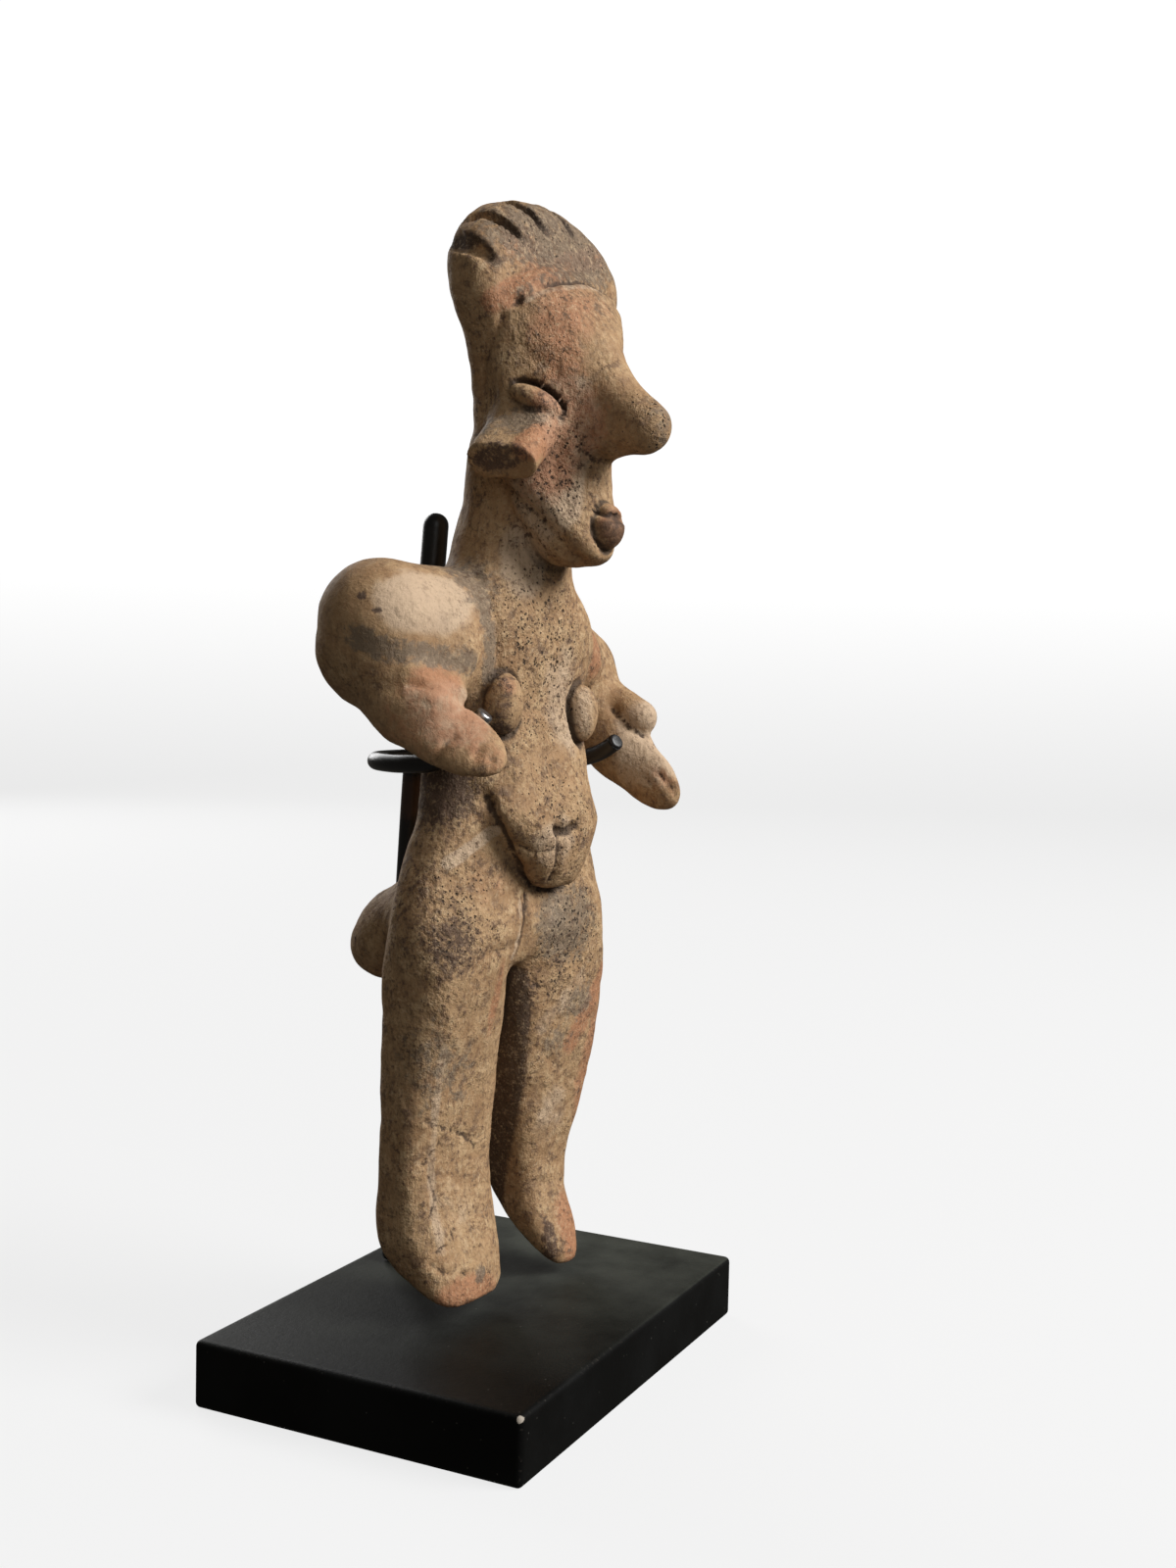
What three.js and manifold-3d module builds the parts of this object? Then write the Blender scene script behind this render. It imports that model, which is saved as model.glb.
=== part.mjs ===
// Standing woman of fired clay, held by a bent rod mount above a black plinth.
// Millimetres, +Z up, the figure faces -Y. The origin is the middle of the plinth's underside.
import * as THREE from 'three';
import Module from 'manifold-3d';

const wasm = await Module();
wasm.setup();
const { Manifold, Mesh: ManifoldMesh } = wasm;

// Plinth
const PLINTH_WIDTH = 74;
const PLINTH_DEPTH = 54;
const PLINTH_HEIGHT = 10;
const PLINTH_EDGE = 0.9;

// Place of the figure above the plinth: shift along X, turn about Z in degrees
const FIGURE_SHIFT = 4;
const FIGURE_TURN = -7.5;

// Mount
const POST_RADIUS = 1.7;
const YOKE_RADIUS = 1.35;
const POST_TOP = 120.6;
const YOKE_LEVEL = 83.6;

// Size of the cells that the clay is shaped on, and how many faces it keeps
const CELL = 1.15;
const CLAY_FACES = 7620;

// Sections of the clay. A row is height, centre x, centre y, half width, half depth, squareness.
const TRUNK = [
  [52.5, 0, 0.7, 22.4, 6.6, 2.6], [58, 0, 0.3, 23.8, 8.0, 2.6],
  [64, 0, 0.5, 22.8, 7.4, 2.6], [69, 0, 0.5, 21.0, 7.2, 2.6], [75, 0, -0.2, 18.8, 7.3, 2.6],
  [82, -0.9, -0.1, 16.2, 7.2, 2.8], [90, -1.4, -0.5, 14.9, 7.7, 3.0], [98, -1.4, -0.9, 14.8, 8.3, 3.0],
  [106, -1.2, -0.7, 14.2, 8.7, 2.7], [112, -0.7, -0.4, 11.5, 8.5, 2.3], [118, -0.3, -0.8, 10.3, 7.8, 2.2],
  [124, 0, -1.8, 10.0, 7.0, 2.2], [131, 0, -3.4, 9.8, 6.8, 2.2],
];
const RIGHT_LEG = [
  [0.6, -11.6, -2.4, 6.6, 3.4, 3], [4, -11.6, -0.4, 8.4, 5.2, 3], [8, -11.7, 1.4, 9.4, 6.4, 3],
  [13, -11.8, 2.9, 10.2, 6.3, 3], [19, -11.8, 3.3, 10.3, 5.5, 3], [31, -11.8, 2.9, 10.4, 5.4, 3],
  [38, -11.9, 2.5, 10.3, 6.0, 3], [46, -12.5, 1.5, 10.0, 6.8, 3], [53, -13.1, 0.8, 9.6, 7.5, 3],
  [64, -12.0, 0.6, 8.0, 6.2, 3],
];
const LEFT_LEG = [
  [0.4, 12.3, -3.3, 2.6, 2.3, 2.6], [4, 12.3, -1.8, 4.2, 3.9, 2.6], [7, 12.3, 0.0, 5.0, 4.8, 2.8],
  [10, 12.2, 1.6, 5.4, 5.1, 3], [13.2, 12.2, 3.1, 5.7, 5.5, 3], [16, 12.2, 3.6, 6.2, 5.6, 3],
  [20, 12.2, 3.6, 7.1, 5.7, 3], [26, 12.2, 2.8, 8.9, 6.0, 3], [32, 12.2, 2.1, 10.3, 6.3, 3],
  [39, 12.0, 1.3, 11.2, 6.6, 3.2], [46, 11.2, 0.8, 12.1, 7.0, 3.3], [53, 10.4, 0.7, 12.6, 7.5, 3.2],
  [64, 11.0, 0.6, 8.5, 6.2, 3],
];
const HEADDRESS = [
  [126, 0, -2.6, 9.6, 5.6, 2.4], [133, 0, -3.4, 10.6, 6.0, 2.6], [140, 0, -4.2, 12.0, 6.2, 2.8],
  [146, 0, -4.4, 14.2, 6.3, 2.8], [152, 0.2, -3.7, 17.4, 6.0, 2.8], [158, 1.0, -2.6, 20.2, 5.9, 2.8],
  [164, 2.2, -1.4, 21.8, 5.4, 2.6], [173, 3.0, 0.4, 21.8, 4.4, 2.4],
];
const FACE = [
  [113.6, -1.0, -13.2, 4.6, 5.2, 2.2], [119, -0.8, -11.4, 7.0, 7.4, 1.9], [125, -0.3, -9.4, 9.4, 8.0, 1.7],
  [131, 0, -8.0, 11.6, 9.4, 1.45], [137, 0, -7.4, 12.8, 11.6, 1.3], [143, 0, -6.8, 13.6, 11.8, 1.4],
  [149, 0.4, -6.2, 14.4, 10.9, 1.7], [154, 1.2, -5.6, 14.6, 8.0, 2.0], [160, 2.0, -4.0, 13.0, 3.5, 2.0],
];
const BELLY = [
  [64.8, 1.8, -5.2, 4.6, 5.0, 3.0], [67, 1.1, -5.3, 6.8, 6.2, 3.0], [70.6, 0.2, -5.4, 9.2, 7.2, 3.0],
  [75, -0.7, -5.4, 12.0, 7.5, 3.0], [81, -1.2, -4.8, 12.0, 6.2, 2.8], [89, -1.3, -3.9, 10.2, 4.3, 2.6],
];
const FAN = { x: 2.9, z: 145.3, radius: 24.1 };
// Each slot in the crest runs from its rim to its front.
const SLOTS = [
  [[-15.6, 1.2, 160.9], [-16.4, -3.2, 159.2], [-15.4, -6.6, 157.3]],
  [[-11.6, -0.5, 164.3], [-10.8, -4.0, 163.4], [-9.2, -6.4, 161.9]],
  [[-5.4, -1.0, 167.6], [-4.3, -4.4, 166.4], [-2.4, -6.6, 164.4]],
  [[3.6, -1.5, 169.0], [4.6, -4.8, 167.3], [6.4, -7.0, 164.3]],
];
const LOINS = [[-3.6, -8.2, 64], [-4.2, -8.3, 59.7], [-4.4, -7.6, 54.6], [-3.6, -6.4, 51]];

const clamp = (v, low, high) => Math.min(high, Math.max(low, v));

function join(a, b, k) {
  const h = clamp(0.5 + 0.5 * (b - a) / k, 0, 1);
  return b + (a - b) * h - k * h * (1 - h);
}

function keep(a, b, k) {
  return -join(-a, -b, k);
}

function unit(v) {
  const l = Math.hypot(...v);
  return v.map((c) => c / l);
}

// Three square axes: along u, along the part of v square to it, and across both.
function frame(u, v) {
  const a = unit(u);
  const along = a[0] * v[0] + a[1] * v[1] + a[2] * v[2];
  const b = unit(v.map((c, i) => c - a[i] * along));
  return [a, b, [a[1] * b[2] - a[2] * b[1], a[2] * b[0] - a[0] * b[2], a[0] * b[1] - a[1] * b[0]]];
}

function into(axes, x, y, z) {
  return axes ? axes.map((a) => a[0] * x + a[1] * y + a[2] * z) : [x, y, z];
}

// Rounded cone between two balls, thinned across x by slim.
function limb(from, to, r0, r1, slim = 1) {
  const ax = from[0] / slim;
  const dx = to[0] / slim - ax;
  const dy = to[1] - from[1];
  const dz = to[2] - from[2];
  const square = dx * dx + dy * dy + dz * dz;
  return (x, y, z) => {
    const qx = x / slim - ax;
    const qy = y - from[1];
    const qz = z - from[2];
    const t = clamp((qx * dx + qy * dy + qz * dz) / square, 0, 1);
    return (Math.hypot(qx - t * dx, qy - t * dy, qz - t * dz) - r0 - (r1 - r0) * t) * slim;
  };
}

// Ellipsoid.
function ball(c, r, axes) {
  return (x, y, z) => {
    const [u, v, w] = into(axes, x - c[0], y - c[1], z - c[2]);
    const k = Math.hypot(u / r[0], v / r[1], w / r[2]);
    const g = Math.hypot(u / r[0] ** 2, v / r[1] ** 2, w / r[2] ** 2);
    return k * (k - 1) / Math.max(g, 1e-6);
  };
}

// Bar along its first axis, with a rounded section and cut ends.
function bar(c, half, r, axes) {
  return (x, y, z) => {
    const q = into(axes, x - c[0], y - c[1], z - c[2]).map(Math.abs);
    const v = q[1] - half[1] + r;
    const w = q[2] - half[2] + r;
    const section = Math.hypot(Math.max(v, 0), Math.max(w, 0)) + Math.min(Math.max(v, w), 0) - r;
    return keep(section, q[0] - half[0], 0.3);
  };
}

function below(point, normal) {
  const n = unit(normal);
  return (x, y, z) => n[0] * (x - point[0]) + n[1] * (y - point[1]) + n[2] * (z - point[2]);
}

// Body stacked from rounded sections, with smooth curves between its rows.
function loft(rows, cap) {
  const last = rows.length - 1;
  const slopes = rows.map((row, i) => {
    const a = rows[Math.max(i - 1, 0)];
    const b = rows[Math.min(i + 1, last)];
    if (i === 0 || i === last) return row.map((_, c) => (b[c] - a[c]) / (b[0] - a[0]));
    const h0 = row[0] - a[0];
    const h1 = b[0] - row[0];
    return row.map((v, c) => (h0 * h0 * b[c] - h1 * h1 * a[c] + (h1 * h1 - h0 * h0) * v) / (h0 * h1 * (h0 + h1)));
  });
  const middle = (rows[0][0] + rows[last][0]) / 2;
  const half = (rows[last][0] - rows[0][0]) / 2;
  const s = [0, 0, 0, 0, 0, 0];
  return (x, y, z) => {
    let i = 0;
    while (i < last - 1 && rows[i + 1][0] < z) i += 1;
    const h = rows[i + 1][0] - rows[i][0];
    const t = clamp((z - rows[i][0]) / h, 0, 1);
    const t2 = t * t;
    const t3 = t2 * t;
    for (let c = 1; c < 6; c += 1) {
      s[c] = (2 * t3 - 3 * t2 + 1) * rows[i][c] + (t3 - 2 * t2 + t) * h * slopes[i][c]
        + (3 * t2 - 2 * t3) * rows[i + 1][c] + (t3 - t2) * h * slopes[i + 1][c];
    }
    const [, cx, cy, a, b, p] = s;
    const u = Math.abs(x - cx) / a + 1e-4;
    const v = Math.abs(y - cy) / b + 1e-4;
    const k = (u ** p + v ** p) ** (1 / p);
    const g = k ** (1 - p) * Math.hypot(u ** (p - 1) / a, v ** (p - 1) / b);
    return keep((k - 1) / g, Math.abs(z - middle) - half, cap);
  };
}

// Round string through the points, thinning from r0 to r1.
function chain(points, r0, r1) {
  const n = points.length - 1;
  const radius = (i) => r0 + (r1 - r0) * i / n;
  const parts = points.slice(1).map((to, i) => limb(points[i], to, radius(i), radius(i + 1)));
  return (x, y, z) => Math.min(...parts.map((part) => part(x, y, z)));
}

// The clay
const trunk = loft(TRUNK, 2.5);
const buttocks = [-1, 1].flatMap((s) => [
  [ball([9.6 * s, 8.8, 58.6], [7.0, 13.4, 7.0], frame([s, 0, 0], [0, 0.86, -0.51])), 5],
  [limb([9.4 * s, 13.4, 56.6], [8.6 * s, 16.8, 54.7], 5.6, 4.5), 3],
]);
const rightLeg = loft(RIGHT_LEG, 2.5);
const rightSole = below([-11.6, 8.0, 9.3], [0, 0.514, -0.857]);
const leftLeg = loft(LEFT_LEG, 2.5);
const leftSole = below([12, 6.0, 10.4], [0, 0.665, -0.747]);
const belly = loft(BELLY, 1.2);
const rightArm = [
  [limb([-9, 0.2, 104.4], [-25.2, 3.8, 104.3], 8.2, 8.9), 0],
  [limb([-25.4, 4.3, 103.6], [-25.8, 5.6, 100.2], 8.7, 7.7), 2.5],
  [limb([-26.2, 4.6, 98.8], [-25.8, -4.8, 92.0], 7.0, 4.7, 0.9), 3],
  [ball([-25.3, -7.4, 88.7], [11.0, 5.3, 2.9], frame([0.10, -0.88, -0.42], [0.77, -0.19, 0.58])), 1.6],
  [limb([-27.4, -3.2, 96.4], [-22.6, -7.4, 94.0], 2.8, 1.7), 0.9],
  [ball([-19.0, -1.2, 99.4], [6.0, 6.6, 6.6]), 4],
];
const leftArm = [
  [limb([8.5, 0.2, 103.2], [24.8, 6.4, 98.0], 8.0, 7.5), 0],
  [limb([25, 6.2, 98.0], [26.0, 6.2, 95.6], 7.5, 7.3), 2.5],
  [limb([26.4, 5.6, 95.0], [26.5, -3.4, 86.0], 7.0, 5.6, 0.9), 3],
  [ball([26.0, -8.5, 81.9], [8.9, 4.4, 2.5], frame([-0.02, -0.80, -0.60], [0.1, -0.60, 0.80])), 3],
  [limb([26.8, -0.6, 93.9], [26.8, -7.3, 90.5], 3.2, 3.1), 0.7],
];
const headdress = loft(HEADDRESS, 2);
const face = loft(FACE, 3);
const nose = [limb([0, -13.0, 143.0], [0, -24.4, 133.8], 4.4, 3.6), limb([0, -14, 133.4], [0, -23.2, 133.6], 4.4, 3.4)];
const ears = [
  bar([-12.4, -9.7, 131.3], [6.2, 5.3, 2.8], 2.7, frame([-0.76, -0.16, -0.63], [0, 0.96, 0.28])),
  bar([10.4, -3.8, 132.4], [5.6, 5.0, 2.4], 2.2, frame([0.80, 0.04, -0.60], [0, 1.0, 0.1])),
];
const eyeAxes = frame([-0.66, -0.58, -0.42], [-0.35, -0.1, 0.9]);
const eyePit = ball([9.9, -11.8, 137.3], [4.6, 2.2, 1.8], eyeAxes);
const eye = ball([10.0, -11.2, 137.0], [4.25, 1.8, 2.5], eyeAxes);
const breasts = [[-12.2, -8.4, 92.8], [7.4, -8.6, 91.4]].map(([x, y, z]) => [
  ball([x, y - 0.4, z], [3.9, 1.8, 5.5]),
  ball([x, y + 0.1, z], [3.0, 3.0, 4.6]),
]);
const mouthPit = ball([-0.6, -18.7, 119.4], [3.8, 2.3, 4.2]);
const mouth = ball([-0.4, -17.9, 119.4], [3.0, 2.6, 3.4]);
const lips = limb([-2.0, -20.3, 120.4], [2.4, -20.0, 120.6], 0.6, 0.9);
const slots = SLOTS.map((slot) => chain(slot, 1.5, 1.0));
const navel = limb([-2.4, -13.7, 73.4], [1.8, -13.6, 73.4], 1.0, 0.9);
const loinsGroove = chain(LOINS, 0.5, 1.1);

function built(pieces, x, y, z) {
  return pieces.reduce((d, [shape, k], i) => (i === 0 ? shape(x, y, z) : join(d, shape(x, y, z), k)), 0);
}

// Signed distance to the clay, in the figure's own frame above the plinth.
function clay(x, y, z) {
  let d = trunk(x, y, z);
  for (const [shape, k] of buttocks) d = join(d, shape(x, y, z), k);
  const right = keep(rightLeg(x, y, z), rightSole(x, y, z), 2.5);
  const left = keep(leftLeg(x, y, z), leftSole(x, y, z), 2.5);
  d = join(d, Math.min(right, left), 1.8);
  d = join(d, belly(x, y, z), 0.35 + 5 * clamp((z - 72) / 12, 0, 1));
  d = join(d, built(rightArm, x, y, z), 3);
  d = join(d, built(leftArm, x, y, z), 3);
  const fan = Math.hypot(x - FAN.x, z - FAN.z) - FAN.radius;
  d = join(d, keep(headdress(x, y, z), fan, 5), 4);
  let front = keep(face(x, y, z), y + 1, 3);
  front = join(front, nose[0](x, y, z), 4.5);
  front = join(front, nose[1](x, y, z), 2);
  d = join(d, front, 1.1);
  for (const ear of ears) d = join(d, ear(x, y, z), 2);
  for (const s of [-1, 1]) {
    d = keep(d, -eyePit(x * s, y, z), 0.9);
    d = join(d, eye(x * s, y, z), 0.6);
  }
  for (const [ring, breast] of breasts) d = join(keep(d, -ring(x, y, z), 0.9), breast(x, y, z), 0.6);
  d = keep(d, -mouthPit(x, y, z), 0.8);
  d = join(d, mouth(x, y, z), 0.5);
  d = keep(d, -lips(x, y, z), 0.4);
  for (const slot of slots) d = keep(d, -slot(x, y, z), 0.9);
  d = keep(d, -navel(x, y, z), 0.6);
  d = keep(d, -loinsGroove(x, y, z), 0.7);
  return d;
}

// Closed skin of a distance field, from six tetrahedra in each cell of a grid.
function skin(field, low, high, cell) {
  const n = low.map((v, i) => Math.ceil((high[i] - v) / cell) + 1);
  const at = (i, j, k) => (k * n[1] + j) * n[0] + i;
  const value = new Float32Array(n[0] * n[1] * n[2]);
  for (let k = 0; k < n[2]; k += 1) {
    for (let j = 0; j < n[1]; j += 1) {
      for (let i = 0; i < n[0]; i += 1) {
        const v = field(low[0] + i * cell, low[1] + j * cell, low[2] + k * cell);
        value[at(i, j, k)] = Math.abs(v) < 1e-3 ? 1e-3 : v;
      }
    }
  }
  const points = [];
  const faces = [];
  const seen = new Map();
  const cross = (p, q) => {
    const a = p.id < q.id ? p : q;
    const b = p.id < q.id ? q : p;
    const key = a.id * 8 + (b.i - a.i) + 2 * (b.j - a.j) + 4 * (b.k - a.k);
    if (!seen.has(key)) {
      const t = clamp(value[a.id] / (value[a.id] - value[b.id]), 0.06, 0.94);
      seen.set(key, points.length);
      points.push([a.i + t * (b.i - a.i), a.j + t * (b.j - a.j), a.k + t * (b.k - a.k)]
        .map((v, c) => low[c] + v * cell));
    }
    return seen.get(key);
  };
  const single = [[0, 1, 2, 3], [1, 0, 3, 2], [2, 3, 0, 1], [3, 2, 1, 0]];
  const pairs = { 3: [0, 1, 2, 3], 12: [2, 3, 0, 1], 5: [0, 2, 3, 1], 10: [1, 3, 2, 0], 9: [0, 3, 1, 2], 6: [1, 2, 0, 3] };
  const cutTetra = (t) => {
    let mask = 0;
    t.forEach((v, c) => { if (value[v.id] < 0) mask |= 1 << c; });
    if (mask === 0 || mask === 15) return;
    if (pairs[mask]) {
      const [a, b, c, d] = pairs[mask].map((v) => t[v]);
      const q = [cross(a, c), cross(a, d), cross(b, d), cross(b, c)];
      faces.push([q[0], q[1], q[2]], [q[0], q[2], q[3]]);
      return;
    }
    const lone = [1, 2, 4, 8].indexOf(mask) >= 0 ? mask : 15 - mask;
    const [a, b, c, d] = single[[1, 2, 4, 8].indexOf(lone)].map((v) => t[v]);
    const q = [cross(a, b), cross(a, c), cross(a, d)];
    faces.push(lone === mask ? q : [q[0], q[2], q[1]]);
  };
  const orders = [[0, 1, 2], [1, 2, 0], [2, 0, 1], [0, 2, 1], [2, 1, 0], [1, 0, 2]];
  for (let k = 0; k < n[2] - 1; k += 1) {
    for (let j = 0; j < n[1] - 1; j += 1) {
      for (let i = 0; i < n[0] - 1; i += 1) {
        let inside = 0;
        for (let c = 0; c < 8; c += 1) if (value[at(i + (c & 1), j + ((c >> 1) & 1), k + (c >> 2))] < 0) inside += 1;
        if (inside === 0 || inside === 8) continue;
        orders.forEach((order, o) => {
          const step = [i, j, k];
          const tetra = [{ id: at(i, j, k), i, j, k }];
          for (const axis of order) {
            step[axis] += 1;
            tetra.push({ id: at(...step), i: step[0], j: step[1], k: step[2] });
          }
          cutTetra(o < 3 ? tetra : [tetra[0], tetra[2], tetra[1], tetra[3]]);
        });
      }
    }
  }
  return { points, faces };
}

// Fewer faces on the same closed skin: the edges that change it least are drawn together first.
function coarsen({ points, faces }, target) {
  const q = points.map(() => new Float64Array(10));
  const ring = points.map(() => new Set());
  const stamp = new Int32Array(points.length);
  const alive = faces.map(() => true);
  const normal = (a, b, c) => {
    const u = [b[0] - a[0], b[1] - a[1], b[2] - a[2]];
    const v = [c[0] - a[0], c[1] - a[1], c[2] - a[2]];
    return [u[1] * v[2] - u[2] * v[1], u[2] * v[0] - u[0] * v[2], u[0] * v[1] - u[1] * v[0]];
  };
  faces.forEach((f, i) => {
    const m = normal(...f.map((v) => points[v]));
    const l = Math.hypot(...m) || 1e-12;
    const [a, b, c] = m.map((v) => v / l);
    const p = points[f[0]];
    const e = -(a * p[0] + b * p[1] + c * p[2]);
    const w = l / 2;
    const terms = [a * a, a * b, a * c, a * e, b * b, b * c, b * e, c * c, c * e, e * e];
    for (const v of f) {
      ring[v].add(i);
      terms.forEach((term, s) => { q[v][s] += term * w; });
    }
  });
  const heap = [];
  const less = (a, b) => heap[a].cost < heap[b].cost;
  const swap = (a, b) => { [heap[a], heap[b]] = [heap[b], heap[a]]; };
  const push = (item) => {
    heap.push(item);
    let i = heap.length - 1;
    while (i > 0 && less(i, (i - 1) >> 1)) {
      swap(i, (i - 1) >> 1);
      i = (i - 1) >> 1;
    }
  };
  const pop = () => {
    const top = heap[0];
    const last = heap.pop();
    if (heap.length) {
      heap[0] = last;
      let i = 0;
      for (;;) {
        let s = i;
        if (2 * i + 1 < heap.length && less(2 * i + 1, s)) s = 2 * i + 1;
        if (2 * i + 2 < heap.length && less(2 * i + 2, s)) s = 2 * i + 2;
        if (s === i) break;
        swap(i, s);
        i = s;
      }
    }
    return top;
  };
  const error = (m, [x, y, z]) => m[0] * x * x + 2 * m[1] * x * y + 2 * m[2] * x * z + 2 * m[3] * x + m[4] * y * y
    + 2 * m[5] * y * z + 2 * m[6] * y + m[7] * z * z + 2 * m[8] * z + m[9];
  const offer = (a, b) => {
    const m = q[a].map((v, s) => v + q[b][s]);
    const [pa, pb] = [points[a], points[b]];
    const spots = [pa, pb, pa.map((v, c) => (v + pb[c]) / 2)];
    const det = m[0] * (m[4] * m[7] - m[5] * m[5]) - m[1] * (m[1] * m[7] - m[5] * m[2]) + m[2] * (m[1] * m[5] - m[4] * m[2]);
    if (Math.abs(det) > 1e-4 * (m[0] + m[4] + m[7]) ** 3 / 27) {
      const [r, s, t] = [-m[3], -m[6], -m[8]];
      const spot = [
        (r * (m[4] * m[7] - m[5] * m[5]) - m[1] * (s * m[7] - m[5] * t) + m[2] * (s * m[5] - m[4] * t)) / det,
        (m[0] * (s * m[7] - t * m[5]) - r * (m[1] * m[7] - m[5] * m[2]) + m[2] * (m[1] * t - s * m[2])) / det,
        (m[0] * (m[4] * t - m[5] * s) - m[1] * (m[1] * t - s * m[2]) + r * (m[1] * m[5] - m[4] * m[2])) / det,
      ];
      if (Math.hypot(...spot.map((v, c) => v - (pa[c] + pb[c]) / 2)) < 3) spots.unshift(spot);
    }
    let best = spots[0];
    for (const spot of spots) if (error(m, spot) < error(m, best)) best = spot;
    const length = Math.hypot(...pa.map((v, c) => v - pb[c]));
    push({ cost: error(m, best) + 1e-5 * length ** 2, a, b, spot: best, mark: stamp[a] + stamp[b] * 65536 });
  };
  const near = (v) => {
    const out = new Set();
    for (const f of ring[v]) for (const w of faces[f]) if (w !== v) out.add(w);
    return out;
  };
  faces.forEach(([a, b, c]) => {
    if (a < b) offer(a, b);
    if (b < c) offer(b, c);
    if (c < a) offer(c, a);
  });
  let count = faces.length;
  while (count > target && heap.length) {
    const { a, b, spot, mark } = pop();
    if (!ring[a].size || !ring[b].size || mark !== stamp[a] + stamp[b] * 65536) continue;
    const shared = [...ring[a]].filter((f) => ring[b].has(f));
    const nb = near(b);
    const common = [...near(a)].filter((v) => nb.has(v));
    if (shared.length !== 2 || common.length !== 2) continue;
    const flips = [a, b].some((v) => [...ring[v]].some((f) => {
      if (shared.includes(f)) return false;
      const before = normal(...faces[f].map((w) => points[w]));
      const after = normal(...faces[f].map((w) => (w === v ? spot : points[w])));
      const turn = before[0] * after[0] + before[1] * after[1] + before[2] * after[2];
      return turn < 0.35 * Math.hypot(...before) * Math.hypot(...after) || Math.hypot(...after) < 0.02;
    }));
    if (flips) continue;
    points[a] = spot;
    q[a] = q[a].map((v, s) => v + q[b][s]);
    for (const f of ring[b]) {
      if (shared.includes(f)) {
        alive[f] = false;
        for (const w of faces[f]) if (w !== b) ring[w].delete(f);
        count -= 1;
      } else {
        faces[f] = faces[f].map((w) => (w === b ? a : w));
        ring[a].add(f);
      }
    }
    ring[b].clear();
    stamp[a] += 1;
    for (const v of near(a)) offer(Math.min(a, v), Math.max(a, v));
  }
  const used = new Map();
  const kept = [];
  const out = faces.filter((_, i) => alive[i]).map((f) => f.map((v) => {
    if (!used.has(v)) {
      used.set(v, kept.length);
      kept.push(points[v]);
    }
    return used.get(v);
  }));
  return { points: kept, faces: out };
}

function clayGeometry() {
  const fine = skin(clay, [-37, -30, -2], [37, 26.5, 172], CELL);
  const { points, faces } = coarsen(fine, CLAY_FACES);
  const geometry = new THREE.BufferGeometry();
  geometry.setAttribute('position', new THREE.Float32BufferAttribute(points.flat(), 3));
  geometry.setIndex(faces.flat());
  return geometry;
}

// Puts a shape from the figure's own frame onto the plinth.
function place(geometry) {
  geometry.rotateZ(THREE.MathUtils.degToRad(FIGURE_TURN));
  geometry.translate(FIGURE_SHIFT, 0, PLINTH_HEIGHT);
  return geometry;
}

function solid(geometry) {
  const position = geometry.attributes.position;
  const weld = new Map();
  const vertices = [];
  const index = [];
  const order = geometry.index ? Array.from(geometry.index.array) : Array.from({ length: position.count }, (_, i) => i);
  for (const v of order) {
    const p = [position.getX(v), position.getY(v), position.getZ(v)];
    const key = p.map((c) => Math.round(c * 1e4)).join(' ');
    if (!weld.has(key)) {
      weld.set(key, vertices.length / 3);
      vertices.push(...p);
    }
    index.push(weld.get(key));
  }
  const faces = [];
  for (let f = 0; f < index.length; f += 3) {
    const [a, b, c] = index.slice(f, f + 3);
    if (a !== b && b !== c && c !== a) faces.push(a, b, c);
  }
  return new Manifold(new ManifoldMesh({
    numProp: 3, vertProperties: new Float32Array(vertices), triVerts: new Uint32Array(faces),
  }));
}

function surface(manifold) {
  const mesh = manifold.getMesh();
  const geometry = new THREE.BufferGeometry();
  geometry.setAttribute('position', new THREE.Float32BufferAttribute(mesh.vertProperties, 3));
  geometry.setIndex(Array.from(mesh.triVerts));
  return geometry;
}

// Round rod swept along a curve, with a domed cap at each end that is asked for.
function rod(points, radius, steps, domes) {
  const curve = new THREE.CatmullRomCurve3(points.map((p) => new THREE.Vector3(...p)), false, 'centripetal');
  const section = new THREE.Shape();
  for (let i = 0; i < 12; i += 1) {
    const a = i / 12 * 2 * Math.PI;
    if (i === 0) section.moveTo(radius, 0);
    else section.lineTo(radius * Math.cos(a), radius * Math.sin(a));
  }
  section.closePath();
  let body = solid(new THREE.ExtrudeGeometry(section, { steps, extrudePath: curve, bevelEnabled: false }));
  for (const end of domes) {
    const dome = new THREE.SphereGeometry(radius * 0.985, 12, 8);
    dome.translate(...curve.getPoint(end).toArray());
    body = body.add(solid(dome));
  }
  return body;
}

function mountGeometry() {
  const post = rod([
    [0, 21.4, 0.35], [0, 20.6, 30], [0, 20.0, 56], [0, 19.4, 68], [0, 18.4, YOKE_LEVEL], [0, 15.5, 112], [0, 14.8, POST_TOP],
  ], POST_RADIUS, 22, [1]);
  const yoke = rod([
    [-17.5, -9.2, 91.5], [-18.5, -6, 87.6], [-19.4, -1.5, 84.2], [-19.9, 4, YOKE_LEVEL], [-18.2, 10.2, YOKE_LEVEL],
    [-13, 14.8, YOKE_LEVEL], [-6, 16.3, YOKE_LEVEL], [0, 16.5, YOKE_LEVEL], [6, 16.0, YOKE_LEVEL],
    [12, 14.2, YOKE_LEVEL], [17.2, 9.6, YOKE_LEVEL], [19.2, 4, YOKE_LEVEL], [19.2, -1.5, YOKE_LEVEL + 0.2],
    [18.9, -5.4, YOKE_LEVEL + 1.4], [18.3, -8.8, 86.9],
  ], YOKE_RADIUS, 44, [0]);
  return place(surface(post.add(yoke)));
}

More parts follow.
